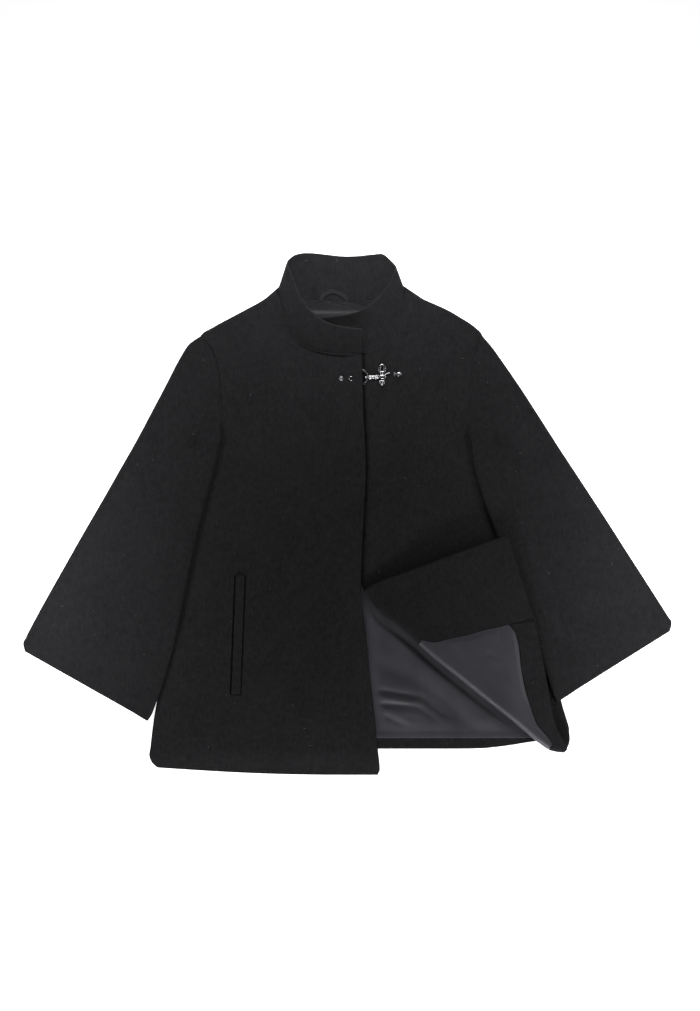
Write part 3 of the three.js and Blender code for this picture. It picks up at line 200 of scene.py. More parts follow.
# Collar, centre end of the right front, round the neck, to that of the left front
COLLAR = table("seam_x seam_y seam_z edge_x edge_y edge_z", [
    (20.3, 227.3, 8.1, 21, 261, 24), (0, 227, 8.1, 4, 262.5, 24), (-23.5, 228.8, 8.1, -14, 266, 23),
    (-44, 233, 8.1, -31, 271.5, 21.5), (-61.1, 240.7, 6.6, -46, 282, 20),
    (-75.9, 255, 5.9, -58, 295, 18.5), (-87.6, 271.7, 5.9, -68, 311, 16.5),
    (-90.6, 288.4, 5.9, -75, 328, 14.5), (-93.4, 305.4, 6, -80.5, 343, 12.4),
    (-95.5, 317.5, 6.1, -84, 352, 9.6), (-95, 322.6, 4.2, -83.5, 358.5, 6),
    (-90, 322.8, 2.1, -78, 365, 2.6), (-78, 314.5, 1.7, -68, 369, 1.7),
    (-60, 307, 1.7, -54, 369.9, 1.7), (-36, 304, 1.7, -33, 368, 1.7),
    (-10, 303.4, 1.7, -9, 365.4, 1.7), (16, 303.6, 1.7, 15, 365.6, 1.7),
    (40, 306.5, 1.7, 36, 367.8, 1.7), (58, 314, 1.7, 51, 368, 1.7), (71, 323.5, 2.1, 61.5, 359, 2.6),
    (77, 324.2, 4.2, 66.8, 351.5, 6), (78, 319, 6.1, 67.3, 346, 9.2),
    (78.2, 309.5, 6, 64.8, 339.5, 11.5), (79.1, 297.2, 5.9, 60, 328.5, 13),
    (75.2, 286.1, 5.9, 52.5, 317.5, 13.6), (69.2, 274.1, 5.9, 42.5, 306, 13.8),
    (61.3, 259.8, 5.9, 30, 295, 13.8), (52, 245.5, 5.8, 16, 287, 13.8),
    (39.4, 235.3, 5.7, 1, 283, 13.6), (19.9, 230, 5.7, -12, 281, 13),
    (-7.9, 231, 5.7, -26, 279.5, 12.5), (-36.5, 234.5, 5.7, -40.5, 278.5, 12),
])
COLLAR_WIDTH = 45  # usual one, for the grid
STANDING_Z = (8, 18)  # heights of its edge between which it comes to bow out
COVERED_ROUND = (0.8, 0.88)  # shares round the neck over which it starts to drop
SAG_POWER = 1.6  # above 1, the drop is deepest near the free edge

# Neck edge of the back, from the right neck point to the left one
BACK_NECK = table("x y", [
    (-96, 319), (-88, 318.5), (-77, 313), (-60, 306.2), (-36, 303.3), (-10, 302.7),
    (16, 302.9), (40, 305.8), (58, 313.2), (70, 320.5), (78, 320.5),
])

BACK_HEM_Y = -334
BACK_SIDE_TOP_Y = 300  # up to which its grid follows the sides
BACK_WIDTH = 560  # usual one
BACK_HEM = table("x y", [  # the back's lower edge, right side seam to left
    (-279.5, -334), (150, -334), (190, -333.4), (208, -331.8), (231, -328.9), (253, -325.3),
    (275, -322.5), (316, -321),
])
HEM_LEVELS = (BACK_HEM_Y, -262)  # heights over which the hem's curve fades out
HEM_BAND_TOP_Y = -316
HEM_BAND_ROWS = (-333, -325, HEM_BAND_TOP_Y)
HEM_BAND_WIDTH = 565
HEM_BAND_WALL = 1.1
NECK_ALLOWANCE = 4  # of the back, under the collar
LINING_LAP = 2.4  # of the lining's hem over the hem allowance
LINING_OVER_BAND = 0.5  # its rise there
LINING_INSET, SHOULDER_INSET = 11, 26  # from the sides of the body
SHOULDER_UP = (245, 264)
LINING_NECK_HALF = 72  # half its width in the neck
LINING_NECK_INSET = 1.5
LINING_TOP_Y = 280
BARED_X, BARED_TOP_Y = 33, -120  # its bared part starts at this x and ends at this y
BARED_WIDTH, COVERED_WIDTH, COVERED_END = 260, 300, 0.97  # usual ones, for the grid
NECK_SHADE_Y = 200  # above this the lining takes the darker satin, painted shade
LOOP_LINE = np.array([  # middle of the hanger loop
    (-38, 301), (-35.5, 306.5), (-29.5, 311.5), (-23, 314.5), (-16, 313.5), (-8, 309.5),
    (-2, 304.5), (0, 301),
])
LOOP_WIDTH = 5.6
LOOP_STEP = 0.08  # between its sections, in places of LOOP_LINE
LOOP_WALL = 1.2
LAPPED_EDGE = [  # where the right front's edge shades the left front
    (19.2, -104), (19.6, -80), (21.6, -30), (24.5, 20), (26, 66), (24.4, 108), (22.4, 145), (21.2, 228),
]
WELT_TOP = (-158, -88)
WELT_LOW = (-164.5, -256)
WELT_WIDTH = 12.5
WELT_WALL = 1.6
WELT_GRID = 1.5
WELT_SHADE = [  # painted shade along the slit and round the welt
    (-159, -89), (-165.5, -255), (-163.5, -256.2), (-152.5, -256.2), (-151.8, -255), (-145.3, -89),
]

# Soft creases of the wool: both ends, half width and height, troughs below zero
CREASES = table("from_x from_y to_x to_y width height", [
    (203, 225, 222, 128, 11, 1.6), (295, 83, 304, 35, 10, 1.4), (-279, 112, -301, 32, 12, 1.5),
    (-301, 32, -351, -103, 15, 1.1), (-120, -225, -35, -305, 24, 1.2),
    (-250, -40, -310, -180, 20, 0.9), (218, 222, 236, 150, 7, -1.1), (303, 70, 312, 30, 6, -0.9),
    (-262, 96, -283, 20, 8, -0.8), (120, 60, 150, -40, 26, 1), (-120, 60, -96, -60, 24, 0.8),
    (-226, 205, -206, 150, 8, 0.8), (330, -20, 372, -95, 16, 0.8), (-20, 150, -60, 60, 26, -0.7),
    (85, 240, 130, 190, 13, 0.7), (-105, 262, -150, 205, 14, 0.8), (-198, 20, -231, -176, 15, -2.2),
])

# Ripples of the back lining where the turned corner bares it
RIPPLES = table("from_x from_y to_x to_y width height", [
    (62, -172, 150, -248, 18, 1.5), (150, -248, 205, -292, 16, 1.2),
    (30, -208, 100, -236, 12, -2), (92, -232, 140, -272, 12, -2.1), (130, -264, 178, -304, 11, -2.1),
    (30, -249, 108, -262, 5.5, -2), (100, -258, 146, -290, 5, -1.8), (34, -257, 112, -270, 5.5, 1.7),
    (30, -269, 96, -273, 3.4, -1.2), (94, -270, 132, -298, 4, -1.1),
    (36, -279, 106, -285, 6, 1.1), (52, -286, 84, -304, 4.5, -1.1), (68, -284, 96, -300, 5, 0.8),
    (150, -298, 184, -311, 9, -0.9), (176, -288, 232, -312, 13, 0.9),
    (-32, 284, -30, 308, 3, 1.6), (-18, 283, -19, 308, 3.4, -1.6), (-4, 283, -3, 308, 3, 1.4),
    (12, 283, 15, 308, 4, -1.4), (28, 283, 32, 308, 4, 1.2),
])
RIPPLE_BASE = 2.2  # height of the bared lining between its ridges and troughs
FLAP_RIPPLES = table("from_x from_y to_x to_y width height", [
    (112, -188, 146, -206, 5.5, -1.1), (213.4, -160, 217, -185, 3.4, -1.1),
    (196, -196, 216, -206, 4, -0.9), (196, -204, 216, -222, 6, 0.8),
    (204, -211, 224, -230, 4, -1), (226, -226, 246, -264, 7, 1),
    (150, -204, 190, -240, 10, 1), (228, -262, 256, -292, 7, 0.7), (176, -176, 200, -200, 9, 0.7),
    (216, -232, 240, -280, 4.5, -0.9),
])
FLAP_RIPPLE_BASE = 1.1
NECK_RIPPLE = 0.5  # share of the height left in the neck
CREASE_OUT, CREASE_IN = 0.15, 0.3  # shares of its length in which a crease rises, from each end

# Soft ramps, in millimetres: where each starts and where it is full
LAP_ACROSS = (-34, -12)  # lift of the right front, from the left front's hidden edge
LAP_UP = (-152, -116)
HEM_HANG = (BACK_HEM_Y - 2, BACK_HEM_Y - 40)  # its fall past the back's hem
RISE_ACROSS = (4, 30)  # fall of its centre edge's rise, away from the edge
RISE_UP = (-300, -120)
ARMHOLE_FOOT = (ARMPIT_Y - 40, ARMPIT_Y - 15)
ARMHOLE_TOP = (TIP_Y - 12, TIP_Y)
LYING_Z = (FRONT_TOP + 2, FRONT_TOP)  # creases of the left front, as it leaves the body
FLAP_WIDENS = (10, 110)  # room under the turned-back corner, from the roll
RIPPLE_EDGE = (0, 11)  # ripples of its lining, from the lining's edges
RIPPLE_FOLD = (10, 30)  # and from the roll
CLEAR_OF_FRONT = (4, 16)  # ripples of the back lining, from the right front
CLEAR_OF_FOLD = (10, 22)
CLEAR_OF_HEM = (2, 26)
OVER_BAND = (HEM_BAND_TOP_Y + 8, HEM_BAND_TOP_Y + 2)  # rise of its hem over the hem allowance
NECK_BARED_UP = (240, 262)
NECK_BARED_ACROSS = (60, 50)

# Clasp
CLASP_LOW = FRONT_TOP + SEAM  # its underside on the left front
CLASP_MIDDLE = CLASP_LOW + 1.1  # height of its wires
ROUND = np.linspace(0, 2 * math.pi, 17)[:-1]
ROD_STEP = 0.5
ROD_TIP = 0.12  # smallest share of a wire's radius at its ends
STUD = [  # radius and height of a stud, underside to crown
    (0.4, 0), (2.9, 0), (3.15, 0.3), (3.2, 0.7), (3, 1.05), (2.6, 1.2), (2.2, 1.05), (1.95, 0.85),
    (1.7, 1.05), (1.5, 1.45), (1.1, 1.8), (0.6, 1.98), (0.1, 2),
]
HOLLOW_STUD = [
    (0.4, 0), (2.9, 0), (3.15, 0.3), (3.2, 0.7), (3, 1.1), (2.7, 1.25), (2.4, 1.1), (2.15, 0.6),
    (1.9, 0.35), (1.2, 0.3), (0.1, 0.3),
]
STUDS = ((-8.9, STUD), (4.9, HOLLOW_STUD))
STUD_Y = 191.3
DOME = [
    (0.4, 0), (0.93, 0), (1, 0.35), (0.97, 0.9), (0.82, 1.5), (0.55, 2), (0.25, 2.25), (0.05, 2.3),
]
RING = [
    (20.6, 204.6), (24.6, 201.2), (28.2, 197.6), (29, 194.3), (28.3, 191), (25.8, 186.6), (22.6, 182.4),
]
UPPER_WING = [
    (46, 200.8), (49.1, 200.2), (52.2, 200.8), (52.9, 204.5), (51.5, 208.8), (49.1, 210.6),
    (46.7, 208.8), (45.3, 204.5),
]
LOWER_WING = [
    (46.3, 187.6), (49, 188.1), (51.9, 187.6), (51.9, 184.9), (50.6, 183.1), (49, 182.4),
    (47.4, 183.1), (46.3, 184.9),
]

# Colours
WOOL_DARK, WOOL_LIGHT = (0.0082, 0.0082, 0.0089, 1), (0.0165, 0.0165, 0.0178, 1)
# Painted shade for the wool's grooves and shaded lines, and a painted highlight for its sharp rims
WOOL_SHADE, WOOL_PAINTED_HIGHLIGHT = (0.0012, 0.0012, 0.0014, 1), (0.036, 0.036, 0.039, 1)
LINT = (0.12, 0.12, 0.13, 1)
SATIN_DARK, SATIN_LIGHT = (0.032, 0.0306, 0.0362, 1), (0.05, 0.048, 0.056, 1)
# A darker copy of the satin: painted shade for the neck and the hanger loop
SHADE_SATIN_DARK, SHADE_SATIN_LIGHT = (0.0085, 0.0083, 0.0094, 1), (0.0165, 0.016, 0.018, 1)
METAL_BRIGHT, METAL_DULL = (0.5, 0.5, 0.51, 1), (0.27, 0.27, 0.28, 1)
# Painted shade for the clasp's grooves
METAL_PAINTED_SHADE = (0.03, 0.028, 0.03, 1)
FLOOR_COLOUR, WHITE = (0.92, 0.92, 0.92, 1), (1, 1, 1, 1)
MIX_ONE, MIX_OTHER, MIX_RESULT = 6, 7, 2  # colour sockets of a mix node

# Studio, in metres
PICTURE_MIDDLE = (0.0036, 0.0114)
PICTURE_HEIGHT = 1.4356
CAMERA_HEIGHT, CAMERA_REACH = 4, 20
FLOOR_REACH, FLOOR_DROP = 12, 0.0004
FLOOR_GLOW, SKY_GLOW = 0.9, 0.05
LIGHTS = [  # place, what it looks at, size, power in watts and beam in degrees
    ("left_box", (-0.5, 0.04, 0.26), (-0.42, 0.04, 0), (0.76, 0.12), 1.3, 110),
    ("right_box", (0.5, 0.04, 0.26), (0.42, 0.04, 0), (0.76, 0.12), 1.25, 110),
    ("far_box", (0, 0.56, 0.34), (0, 0.36, 0), (0.5, 0.15), 1.7, 115),
    ("near_box", (0, -0.98, 0.29), (0, -0.4, 0), (0.7, 0.12), 3.4, 100),
    ("top_box", (0, 0, 2.6), (0, 0, 0), (0.5, 0.5), 0.5, 180),
]


def smooth(low, high, value):
    """A soft ramp from 0 at low to 1 at high, which may also lie below low."""
    share = np.clip((value - low) / (high - low), 0, 1)
    return share * share * (3 - 2 * share)


def mix(a, b, share):
    return a + (b - a) * share


def cubic(at, keys, values, slopes):
    """The curve through values at rising keys with these slopes, read at other places."""
    k = np.clip(np.searchsorted(keys, at, side="right") - 1, 0, len(keys) - 2)
    gap = keys[k + 1] - keys[k]
    t = (at - keys[k]) / gap
    if values.ndim > 1:
        gap, t = gap[:, None], t[:, None]
    return (
        (1 + 2 * t) * (1 - t) ** 2 * values[k] + t * (1 - t) ** 2 * gap * slopes[k]
        + t * t * (3 - 2 * t) * values[k + 1] - t * t * (1 - t) * gap * slopes[k + 1]
    )


def curve(at, keys, values):
    """A smooth curve that never swings past the values at its keys."""
    slope = (np.diff(values, axis=0).T / np.diff(keys)).T
    tangent = np.zeros(values.shape)
    tangent[0], tangent[-1] = slope[0], slope[-1]
    before, after = slope[:-1], slope[1:]
    same = before * after > 0
    tangent[1:-1][same] = 2 * before[same] * after[same] / (before[same] + after[same])
    return cubic(np.clip(at, keys[0], keys[-1]), keys, values, tangent)


def flowing(at, keys, values):
    """A rounder curve through the values at its keys, which may swing a little past them."""
    return cubic(at, keys, values, np.gradient(values, keys, axis=0))


def read(edges, names, at, key=None):
    """Columns of a table at values of its key column, or at shares of the way down it."""
    columns = [edges[name] for name in names.split()]
    keys = edges[key] if key else np.linspace(0, 1, len(columns[0]))
    return [curve(at, keys, column) for column in columns]


def body_edge(side, y):
    return curve(y, BODY_EDGES["y"], BODY_EDGES[side])


def body_ends(y, inset=0):
    """Both sides of the body at a height, each moved in by an inset."""
    return body_edge("right", y) + inset, body_edge("left", y) - inset


def crease_lift(creases, x, y):
    """Height that the creases of a table add at each place."""
    lift = np.zeros(np.shape(x))
    for from_x, from_y, to_x, to_y, width, height in zip(*creases.values()):
        run, rise = to_x - from_x, to_y - from_y
        length = math.hypot(run, rise)
        share = ((x - from_x) * run + (y - from_y) * rise) / length**2
        across = ((y - from_y) * run - (x - from_x) * rise) / length
        fade = smooth(-CREASE_OUT, CREASE_IN, share) * smooth(1 + CREASE_OUT, 1 - CREASE_IN, share)
        lift = lift + height * fade * np.exp(-((across / width) ** 2))
    return lift


def curl_share(distance):
    """Quarter-round profile of a seamed edge: 0 at the edge, 1 from the curl's width inwards."""
    return np.sqrt(1 - (1 - np.clip(distance / CURL, 0, 1)) ** 2)


def spaced(low, high, step):
    """Evenly spaced values from low to high, both ends included."""
    return np.linspace(low, high, max(2, int(round(abs(high - low) / step)) + 1))


def edged(length, step=GRID):
    """Shares of a length, set close together at both ends so that edges round off."""
    steps = EDGE_STEPS[EDGE_STEPS < length / 2 - EDGE_CLEAR]
    middle = spaced(steps[-1], length - steps[-1], step)[1:-1]
    return np.concatenate([steps, middle, (length - steps)[::-1]]) / length


def travelled(points):
    """Distance from the first point of a line, or of each column of a grid."""
    gaps = np.linalg.norm(np.diff(points, axis=0), axis=-1)
    return np.concatenate([np.zeros_like(gaps[:1]), np.cumsum(gaps, axis=0)])


def loft(rows, step, join=curve):
    """Rows of points, filled in by curves so that they lie about a step apart."""
    rows = np.array(rows)
    keys = travelled(rows).mean(axis=1)
    at = edged(keys[-1], step) * keys[-1]
    return join(at, keys, rows.reshape(len(rows), -1)).reshape(len(at), -1, 3)


def edge_distance(middle, wrap=False):
    """Distance of each grid point from the borders down and across the grid, along the cloth."""
    def from_ends(points):
        there = travelled(points)
        return np.minimum(there, there[-1] - there)
    down = from_ends(middle)
    return down, np.full(down.shape, np.inf) if wrap else from_ends(middle.transpose(1, 0, 2)).T


def grid_normals(middle, wrap=False):
    down = np.gradient(middle, axis=0)
    if wrap:
        over = (np.roll(middle, -1, axis=1) - np.roll(middle, 1, axis=1)) / 2
    else:
        over = np.gradient(middle, axis=1)
    normal = np.cross(down, over)
    return normal / np.maximum(np.linalg.norm(normal, axis=2, keepdims=True), TINY)


def linked(name, data):
    """An object with this data, put in the scene."""
    thing = bpy.data.objects.new(name, data)
    bpy.context.scene.collection.objects.link(thing)
    return thing


def smooth_object(name, points, faces):
    """A smooth-shaded object from points in millimetres and faces."""
    mesh = bpy.data.meshes.new(name)
    mesh.from_pydata((points * MM).tolist(), [], faces)
    mesh.validate()
    mesh.shade_smooth()
    return linked(name, mesh)


def shell(name, middle, wall, wrap=False):
    """A closed wall of cloth about a grid of middle points, its edges rounded. With wrap, the
    columns close into a tube."""
    rows, columns = middle.shape[:2]
    half = np.broadcast_to(np.asarray(wall, float) / 2, (rows, columns))
    round_off = 1.0
    for distance in edge_distance(middle, wrap):
        inward = 1 - np.clip(distance / half, 0, 1)
        round_off = round_off * np.sqrt(np.clip(1 - inward**2, 0, 1))
    offset = grid_normals(middle, wrap) * (half * round_off)[..., None]
    upper = np.arange(rows * columns).reshape(rows, columns)
    inner = np.zeros((rows, columns), bool)
    inner[1:-1, slice(None) if wrap else slice(1, -1)] = True
    lower = upper.copy()
    lower[inner] = rows * columns + np.arange(inner.sum())
    points = np.concatenate([(middle + offset).reshape(-1, 3), (middle - offset)[inner]])
    faces = []
    for index, order in ((upper, (0, 3, 2, 1)), (lower, (0, 1, 2, 3))):
        if wrap:
            index = np.concatenate([index, index[:, :1]], axis=1)
        corners = index[:-1, :-1], index[:-1, 1:], index[1:, 1:], index[1:, :-1]
        faces.append(np.stack([corners[k] for k in order], axis=-1).reshape(-1, 4))
    faces = np.concatenate(faces)
    thing = smooth_object(name, points, faces.tolist())
    a, b, c, d = (points[faces[:, k]] for k in range(4))
    volume = np.einsum("ij,ij->i", a, np.cross(b, c) + np.cross(c, d)).sum()
    if volume < 0:
        thing.data.flip_normals()
    return thing


def dress(thing, material, nodes):
    """Gives a piece its material, hangs it under the root body, and hides the plain parts that it
    stands for.
    """
    thing.data.materials.append(material)
    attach(thing, "root")
    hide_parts(*nodes)
    return thing


def stacked(x, y, base, wall):
    """Middle points of a wall that lies at a height."""
    return np.stack(np.broadcast_arrays(x, y, base + wall / 2), axis=-1)


def overlap_lift(x, y):
    """How far the right front is lifted by the left front under its centre edge."""
    hidden = slice(LEFT_EDGE_ROWS)
    centre = curve(y, LEFT_FRONT["end_y"][hidden], LEFT_FRONT["end_x"][hidden])
    return OVERLAP_LIFT * smooth(*LAP_ACROSS, x - centre) * smooth(*LAP_UP, y)


def right_front_base(x, y):
    hanging = smooth(*HEM_HANG, y) * (FRONT_BASE - SEAM)
    return FRONT_BASE + overlap_lift(x, y) + crease_lift(CREASES, x, y) - hanging


def edge_drop(side_y, distance):
    """Seamed edges, side and shoulder, come down to the back; the armhole edge does not."""
    armhole = smooth(*ARMHOLE_FOOT, side_y) * (1 - smooth(*ARMHOLE_TOP, side_y))
    return (1 - armhole) * (1 - curl_share(distance))


def front_wall(x, y, base, drop):
    """Middle points and wall of a front, thinner where it comes down to its seam."""
    bottom = mix(base, np.minimum(base, LINING_BASE), drop)
    wall = WOOL * (1 - SEAM_THINNING * drop)
    return stacked(x, y, bottom, wall), wall


def right_front():
    low, high = RIGHT_FRONT["side_y"][[0, -1]]
    side_y = mix(low, high, edged(high - low))[:, None]
    end_x, end_y, sag = read(RIGHT_FRONT, "end_x end_y sag", side_y, "side_y")
    side_x = body_edge("right", side_y)
    share = edged(RIGHT_WIDTH)[None, :]
    x = mix(side_x, end_x, share)
    y = mix(side_y, end_y, share) - sag * np.sin(np.pi * share)
    length = np.hypot(end_x - side_x, end_y - side_y)
    rise = EDGE_RISE * (1 - smooth(*RISE_ACROSS, (1 - share) * length)) * smooth(*RISE_UP, y)
    base = right_front_base(x, y) + rise
    return shell("right_front_cloth", *front_wall(x, y, base, edge_drop(side_y, share * length)))


def fold_at(share):
    """Middle of the roll and its inner radius at a share of the fold's length."""
    x, y, radius = read(FOLD, "x y radius", share)
    reach = radius + WOOL + LAID + SATIN
    return x + reach * FOLD_ACROSS[0], y + reach * FOLD_ACROSS[1], radius


def roll_row(share, degrees, outward):
    """Points on the roll, at a distance out from the cloth's hollow face."""
    x, y, radius = fold_at(share)
    angle = math.radians(degrees)
    reach = (radius + outward) * math.sin(angle)
    z = FRONT_TOP + radius - (radius + outward) * math.cos(angle)
    return np.stack([x - reach * FOLD_ACROSS[0], y - reach * FOLD_ACROSS[1], z], axis=-1)


def from_fold(x, y):
    """Distances along the fold from its start, and across it from the roll inwards."""
    from_x, from_y = x - FOLD["x"][0], y - FOLD["y"][0]
    return [from_x * way[0] + from_y * way[1] for way in (FOLD_ALONG, FOLD_ACROSS)]


def flap_base(x, y):
    """Underside of the turned-back corner: level with the top of the roll, then rising."""
    along, across = from_fold(x, y)
    length = math.hypot(*(FOLD[way][-1] - FOLD[way][0] for way in "xy"))
    radius = fold_at(np.clip(along / length, 0, 1))[2]
    radius = mix(radius, FLAP_ROOM, smooth(*FLAP_WIDENS, across))
    rise = FLAP_RISE * smooth(0, FLAP_REACH, across) * across / FLAP_REACH
    return FRONT_TOP + 2 * radius + rise


def flap_rows(edges, share, wall, above):
    """Rows of the turned-back corner between a table's two edges, above its underside."""
    rows = []
    for from_x, from_y, to_x, to_y in zip(*edges.values()):
        x, y = mix(from_x, to_x, share), mix(from_y, to_y, share)
        rows.append(stacked(x, y, flap_base(x, y) + above, wall))
    return rows


def left_front():
    share = edged(LEFT_WIDTH)
    rows = []
    for side_y in spaced(*LEFT_FRONT["side_y"][[-1, 0]], LEFT_ROW_STEP):
        side_x = body_edge("left", side_y)
        end_x, end_y = read(LEFT_FRONT, "end_x end_y", side_y, "side_y")
        length = math.hypot(end_x - side_x, end_y - side_y)
        drop = edge_drop(side_y, (1 - share) * length)
        x, y = mix(end_x, side_x, share), mix(end_y, side_y, share)
        rows.append(front_wall(x, y, FRONT_BASE, drop)[0])
    rows += [roll_row(share, degrees, WOOL / 2) for degrees in np.linspace(0, 180, ROLL_ROWS)]
    rows += flap_rows(FLAP, share, WOOL, 0)
    middle = loft(rows, GRID)
    x, y, z = (middle[..., k] for k in range(3))
    middle[..., 2] = z + crease_lift(CREASES, x, y) * smooth(*LYING_Z, z)
    return shell("left_front_cloth", middle, WOOL)


def flap_cover(low, high, edges, width, step, row_step=GRID):
    """Middle of a cloth laid round part of the roll, then on the turned-back corner."""
    share = edged(width, step)
    place = mix(low + BUTT, high - BUTT, share)
    outward = WOOL + LAID + SATIN / 2
    turns = np.linspace(COVER_START, 180, COVER_ROWS)
    rows = [roll_row(place, degrees, outward) for degrees in turns]
    rows += flap_rows(edges, share, SATIN, WOOL + LAID)
    return loft(rows, row_step)


def left_facing():
    middle = flap_cover(FOLD_ENDS[0], FACING_SHARE, FACING, FACING_WIDTH, GRID)
    return shell("left_facing_cloth", middle, SATIN)


def left_flap_lining():
    middle = flap_cover(
        FACING_SHARE, LINING_SHARE, FLAP_LINING, FLAP_LINING_WIDTH, RIPPLE_GRID, RIPPLE_GRID)
    x, y = middle[..., 0], middle[..., 1]
    free = smooth(*RIPPLE_EDGE, np.minimum(*edge_distance(middle)))
    free = free * smooth(*RIPPLE_FOLD, from_fold(x, y)[1])
    middle[..., 2] += np.maximum(0, FLAP_RIPPLE_BASE + crease_lift(FLAP_RIPPLES, x, y)) * free
    return shell("left_flap_lining_satin", middle, SATIN)


def left_hem_band():
    middle = flap_cover(LINING_SHARE, FOLD_ENDS[1], FLAP_BAND, FLAP_BAND_WIDTH, BAND_GRID)
    return shell("left_hem_band_cloth", middle, SATIN)


def back_panel():
    share = edged(BACK_WIDTH, BACK_GRID)
    hem_x = mix(BACK_HEM["x"][0], body_edge("left", BACK_HEM["y"][-1]), share)
    hem_y = curve(hem_x, BACK_HEM["x"], BACK_HEM["y"])
    rows = [stacked(hem_x, hem_y, 0, WOOL)]
    for level in BODY_EDGES["y"]:
        if BACK_HEM_Y < level <= BACK_SIDE_TOP_Y:
            y = level + (hem_y - BACK_HEM_Y) * (1 - smooth(*HEM_LEVELS, level))
            rows.append(stacked(mix(*body_ends(level), share), y, 0, WOOL))
    neck_x, neck_y = read(BACK_NECK, "x y", share)
    rows.append(stacked(neck_x, neck_y + NECK_ALLOWANCE, 0, WOOL))
    return shell("back_panel_cloth", loft(rows, BACK_GRID), WOOL)


def back_hem_band():
    share = edged(HEM_BAND_WIDTH, BACK_GRID)
    rows = []
    for y in HEM_BAND_ROWS:
        x = mix(*body_ends(y, LINING_INSET), share)
        rise = curve(x, BACK_HEM["x"], BACK_HEM["y"]) - BACK_HEM_Y
        rise = rise * (1 - smooth(HEM_BAND_ROWS[0], HEM_BAND_TOP_Y, y))
        rows.append(stacked(x, y + rise, LINING_BASE, HEM_BAND_WALL))
    return shell("back_hem_band_cloth", loft(rows, HEM_BAND_GRID), HEM_BAND_WALL)


def lining_lift(x, y):
    """Ripples stand only on the bared parts of the lining: clear of what lies round it below
    the turned-back corner, and lower in the neck."""
    front_x = curve(y, RIGHT_FRONT["end_y"][:RIGHT_EDGE_ROWS], RIGHT_FRONT["end_x"][:RIGHT_EDGE_ROWS])
    fold_y = curve(x, FOLD["x"], FOLD["y"])
    bared = smooth(*CLEAR_OF_FRONT, x - front_x) * smooth(*CLEAR_OF_FOLD, fold_y - y)
    bared = bared * smooth(*CLEAR_OF_HEM, y - HEM_BAND_TOP_Y)
    in_neck = smooth(*NECK_BARED_UP, y) * smooth(*NECK_BARED_ACROSS, np.abs(x - BODY_MIDDLE))
    bared = np.maximum(bared, in_neck * NECK_RIPPLE)
    return bared * np.maximum(0, RIPPLE_BASE + crease_lift(RIPPLES, x, y))


def back_lining():
    """A grid that is fine where the lining is bared and coarse where it is covered."""
    low_y = HEM_BAND_TOP_Y - LINING_LAP
    levels = np.concatenate([
        low_y + EDGE_STEPS[:-1], spaced(low_y + 8, BARED_TOP_Y, RIPPLE_GRID),
        spaced(BARED_TOP_Y + 6, LINING_TOP_Y, COVERED_GRID),
    ])
    covered = edged(COVERED_WIDTH, COVERED_GRID)
    covered = covered[covered < COVERED_END]
    bared = spaced(0, 1, RIPPLE_GRID / BARED_WIDTH)
    rows = []
    for y in levels:
        low, high = body_ends(y, mix(LINING_INSET, SHOULDER_INSET, smooth(*SHOULDER_UP, y)))
        x = np.concatenate([mix(low, BARED_X, covered), mix(BARED_X, high, bared)])
        rows.append(stacked(x, y, LINING_BASE, SATIN))
    x = BODY_MIDDLE + LINING_NECK_HALF * np.linspace(-1, 1, len(x))
    neck_y = curve(x, BACK_NECK["x"], BACK_NECK["y"]) - LINING_NECK_INSET
    rows.append(stacked(x, neck_y, LINING_BASE, SATIN))
    middle = np.array(rows)
    x, y = middle[..., 0], middle[..., 1]
    middle[..., 2] += lining_lift(x, y) + LINING_OVER_BAND * smooth(*OVER_BAND, y)
    return shell("back_lining_satin", middle, SATIN)


def side_lift(side, sign, x, y):
    """How far a sleeve is lifted to lie over the edge of the body."""
    past = sign * (x - body_edge(side, y))
    round_corner = np.hypot(x - body_edge(side, ARMPIT_Y), y - ARMPIT_Y)
    outside = np.where(y <= ARMPIT_Y, np.minimum(past, round_corner), round_corner)
    on_body = (y <= ARMPIT_Y) & (past < 0)
    return (FRONT_TOP + SEAM) * np.where(on_body, 1, 1 - smooth(SIDE_FLAT, SIDE_RAMP, outside))


def sleeve_plan(side, sign, sections, place, loop):
    """Where a sleeve's points lie from above, and its width there. Its head follows the
    armhole, and runs in a little under it."""
    outer_x, outer_y, inner_x, inner_y = read(sections, "outer_x outer_y inner_x inner_y", place)
    width = np.hypot(outer_x - inner_x, outer_y - inner_y)
    inset = WOOL / 2 / width
    across = mix(inset, 1 - inset, loop)
    fade = (1 - np.clip(place / SLEEVE_FREE, 0, 1)) ** 2
    from_tip = smooth(0, TIP_SHARE, loop)
    seam_x = body_edge(side, mix(TIP_Y, ARMPIT_Y, loop)) - sign * SEWN * from_tip
    chord_x = mix(sections["outer_x"][0], sections["inner_x"][0], loop)
    x = mix(outer_x, inner_x, across) + fade * (seam_x - chord_x)
    y = mix(outer_y, inner_y, across)
    way = np.array([sections[c][1] - sections[c][0] for c in ("outer_x", "outer_y")])
    way /= np.linalg.norm(way)
    lap = TIP_LAP * (1 - from_tip) * (1 - smooth(0, TIP_REACH / SLEEVE_LENGTH, place))
    return x - lap * way[0], y - lap * way[1], width


